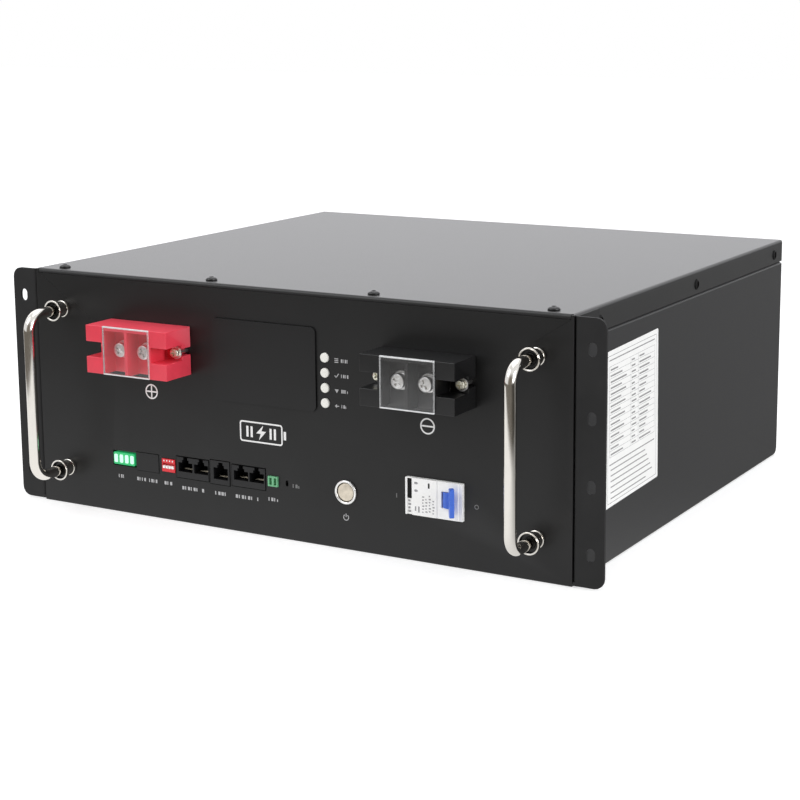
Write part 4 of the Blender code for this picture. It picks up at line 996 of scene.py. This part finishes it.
def surroundings():
    """White all round for the camera; for reflections, a bright tent with a dim room at the front."""
    world = bpy.data.worlds.new("studio")
    bpy.context.scene.world = world
    world.use_nodes = True
    tree = world.node_tree
    direction = tree.nodes.new("ShaderNodeTexCoord").outputs["Generated"]
    tent = mixed(tree, lobe(tree, direction, (-0.5, 0.85, 0.2), 65, 15), (0.92, 0.93, 0.95), (1.6, 1.6, 1.64))
    room = mixed(tree, lobe(tree, direction, (0.35, -0.94, 0.05), 50, 20), tent, (0.22, 0.195, 0.165))
    path = tree.nodes.new("ShaderNodeLightPath")
    seen = mixed(tree, path.outputs["Is Camera Ray"], room, (1.0, 1.0, 1.0))
    tree.links.new(seen, tree.nodes["Background"].inputs["Color"])


def floor():
    """A pale floor: white with a soft contact shadow to the eye; in reflections it gets dimmer to the
    rear, and the white ends 0.64 m from the object in front."""
    bm = bmesh.new()
    bmesh.ops.create_grid(bm, x_segments=1, y_segments=1, size=6)
    ground = bpy.data.objects.new("floor", mesh_from(bm, "floor"))
    ground.location.z = -0.4 * MM
    bpy.context.scene.collection.objects.link(ground)
    mat = bpy.data.materials.new("pale_floor")
    mat.use_nodes = True
    tree = mat.node_tree
    tree.nodes.remove(tree.nodes["Principled BSDF"])
    paper = tree.nodes.new("ShaderNodeBsdfDiffuse")
    tree.links.new(mixed(tree, spread(tree, noise(tree, 0.4), 0, 1), (0.60, 0.60, 0.60), (0.62, 0.62, 0.62)),
                   paper.inputs["Color"])
    glow = tree.nodes.new("ShaderNodeEmission")
    glow.inputs["Strength"].default_value = 0.55
    eye = tree.nodes.new("ShaderNodeAddShader")
    tree.links.new(paper.outputs["BSDF"], eye.inputs[0])
    tree.links.new(glow.outputs["Emission"], eye.inputs[1])
    place = tree.nodes.new("ShaderNodeNewGeometry").outputs["Position"]
    along = tree.nodes.new("ShaderNodeVectorMath")
    along.operation = "DOT_PRODUCT"
    along.inputs[1].default_value = (0.62, 0.78, 0)
    tree.links.new(place, along.inputs[0])
    fade = tree.nodes.new("ShaderNodeMapRange")
    fade.interpolation_type = "SMOOTHSTEP"
    fade.inputs["From Min"].default_value = -0.25
    fade.inputs["From Max"].default_value = 0.25
    fade.inputs["To Min"].default_value = 1.0
    fade.inputs["To Max"].default_value = 0.35
    tree.links.new(along.outputs["Value"], fade.inputs["Value"])
    apart = tree.nodes.new("ShaderNodeVectorMath")
    apart.operation = "DISTANCE"
    apart.inputs[1].default_value = (-0.05, -0.12, 0)
    tree.links.new(place, apart.inputs[0])
    far = tree.nodes.new("ShaderNodeMapRange")
    far.interpolation_type = "SMOOTHSTEP"
    far.inputs["From Min"].default_value = 0.56
    far.inputs["From Max"].default_value = 0.72
    tree.links.new(apart.outputs["Value"], far.inputs["Value"])
    split = tree.nodes.new("ShaderNodeSeparateXYZ")
    tree.links.new(place, split.inputs["Vector"])
    ahead_only = tree.nodes.new("ShaderNodeMapRange")
    ahead_only.inputs["From Min"].default_value = 0.15
    ahead_only.inputs["From Max"].default_value = -0.1
    tree.links.new(split.outputs["Y"], ahead_only.inputs["Value"])
    dark = tree.nodes.new("ShaderNodeMath")
    dark.operation = "MULTIPLY"
    tree.links.new(far.outputs["Result"], dark.inputs[0])
    tree.links.new(ahead_only.outputs["Result"], dark.inputs[1])
    mirror = tree.nodes.new("ShaderNodeEmission")
    tree.links.new(mixed(tree, dark.outputs["Value"], (1.05, 1.05, 1.05), (0.17, 0.155, 0.135)),
                   mirror.inputs["Color"])
    tree.links.new(fade.outputs["Result"], mirror.inputs["Strength"])
    path = tree.nodes.new("ShaderNodeLightPath")
    both = tree.nodes.new("ShaderNodeMixShader")
    tree.links.new(path.outputs["Is Camera Ray"], both.inputs["Fac"])
    tree.links.new(mirror.outputs["Emission"], both.inputs[1])
    tree.links.new(eye.outputs["Shader"], both.inputs[2])
    tree.links.new(both.outputs["Shader"], tree.nodes["Material Output"].inputs["Surface"])
    ground.data.materials.append(mat)


def softbox(name, at, toward, size, power):
    light = bpy.data.lights.new(name, "AREA")
    light.shape = "RECTANGLE"
    light.size, light.size_y = size
    light.energy = power
    obj = bpy.data.objects.new(name, light)
    obj.location = at
    obj.rotation_euler = (Vector(toward) - Vector(at)).to_track_quat("-Z", "Y").to_euler()
    bpy.context.scene.collection.objects.link(obj)


def camera():
    """The photograph's viewpoint: from the front right, a little above, with a long lens."""
    data = bpy.data.cameras.new("camera")
    data.lens = 83.55
    data.sensor_width = 36
    data.shift_y = -0.08125
    view = bpy.data.objects.new("camera", data)
    azimuth, tilt, roll = (math.radians(a) for a in (30.387, 79.441, -0.502))
    turn = Matrix.Rotation(azimuth, 4, "Z") @ Matrix.Rotation(tilt, 4, "X") @ Matrix.Rotation(roll, 4, "Z")
    view.matrix_world = Matrix.Translation((0.70171, -1.23563, 0.37762)) @ turn
    bpy.context.scene.collection.objects.link(view)
    bpy.context.scene.camera = view


def studio():
    surroundings()
    floor()
    softbox("key", (-0.9, -1.3, 1.5), (0, -0.1, 0.1), (1.2, 1.0), 9)
    softbox("top", (0.1, 0.2, 1.8), (0, 0, 0.1), (1.4, 1.4), 7)
    softbox("right", (1.8, -0.4, 0.6), (0, -0.1, 0.1), (0.8, 0.8), 14)
    camera()
    bpy.context.scene.view_settings.view_transform = "Standard"


sheet_metal()
handles()
lid_screws()
terminals()
display()
menu_keys()
power_button()
breaker()
signal_row()
legends()
side_label()
inside()
studio()
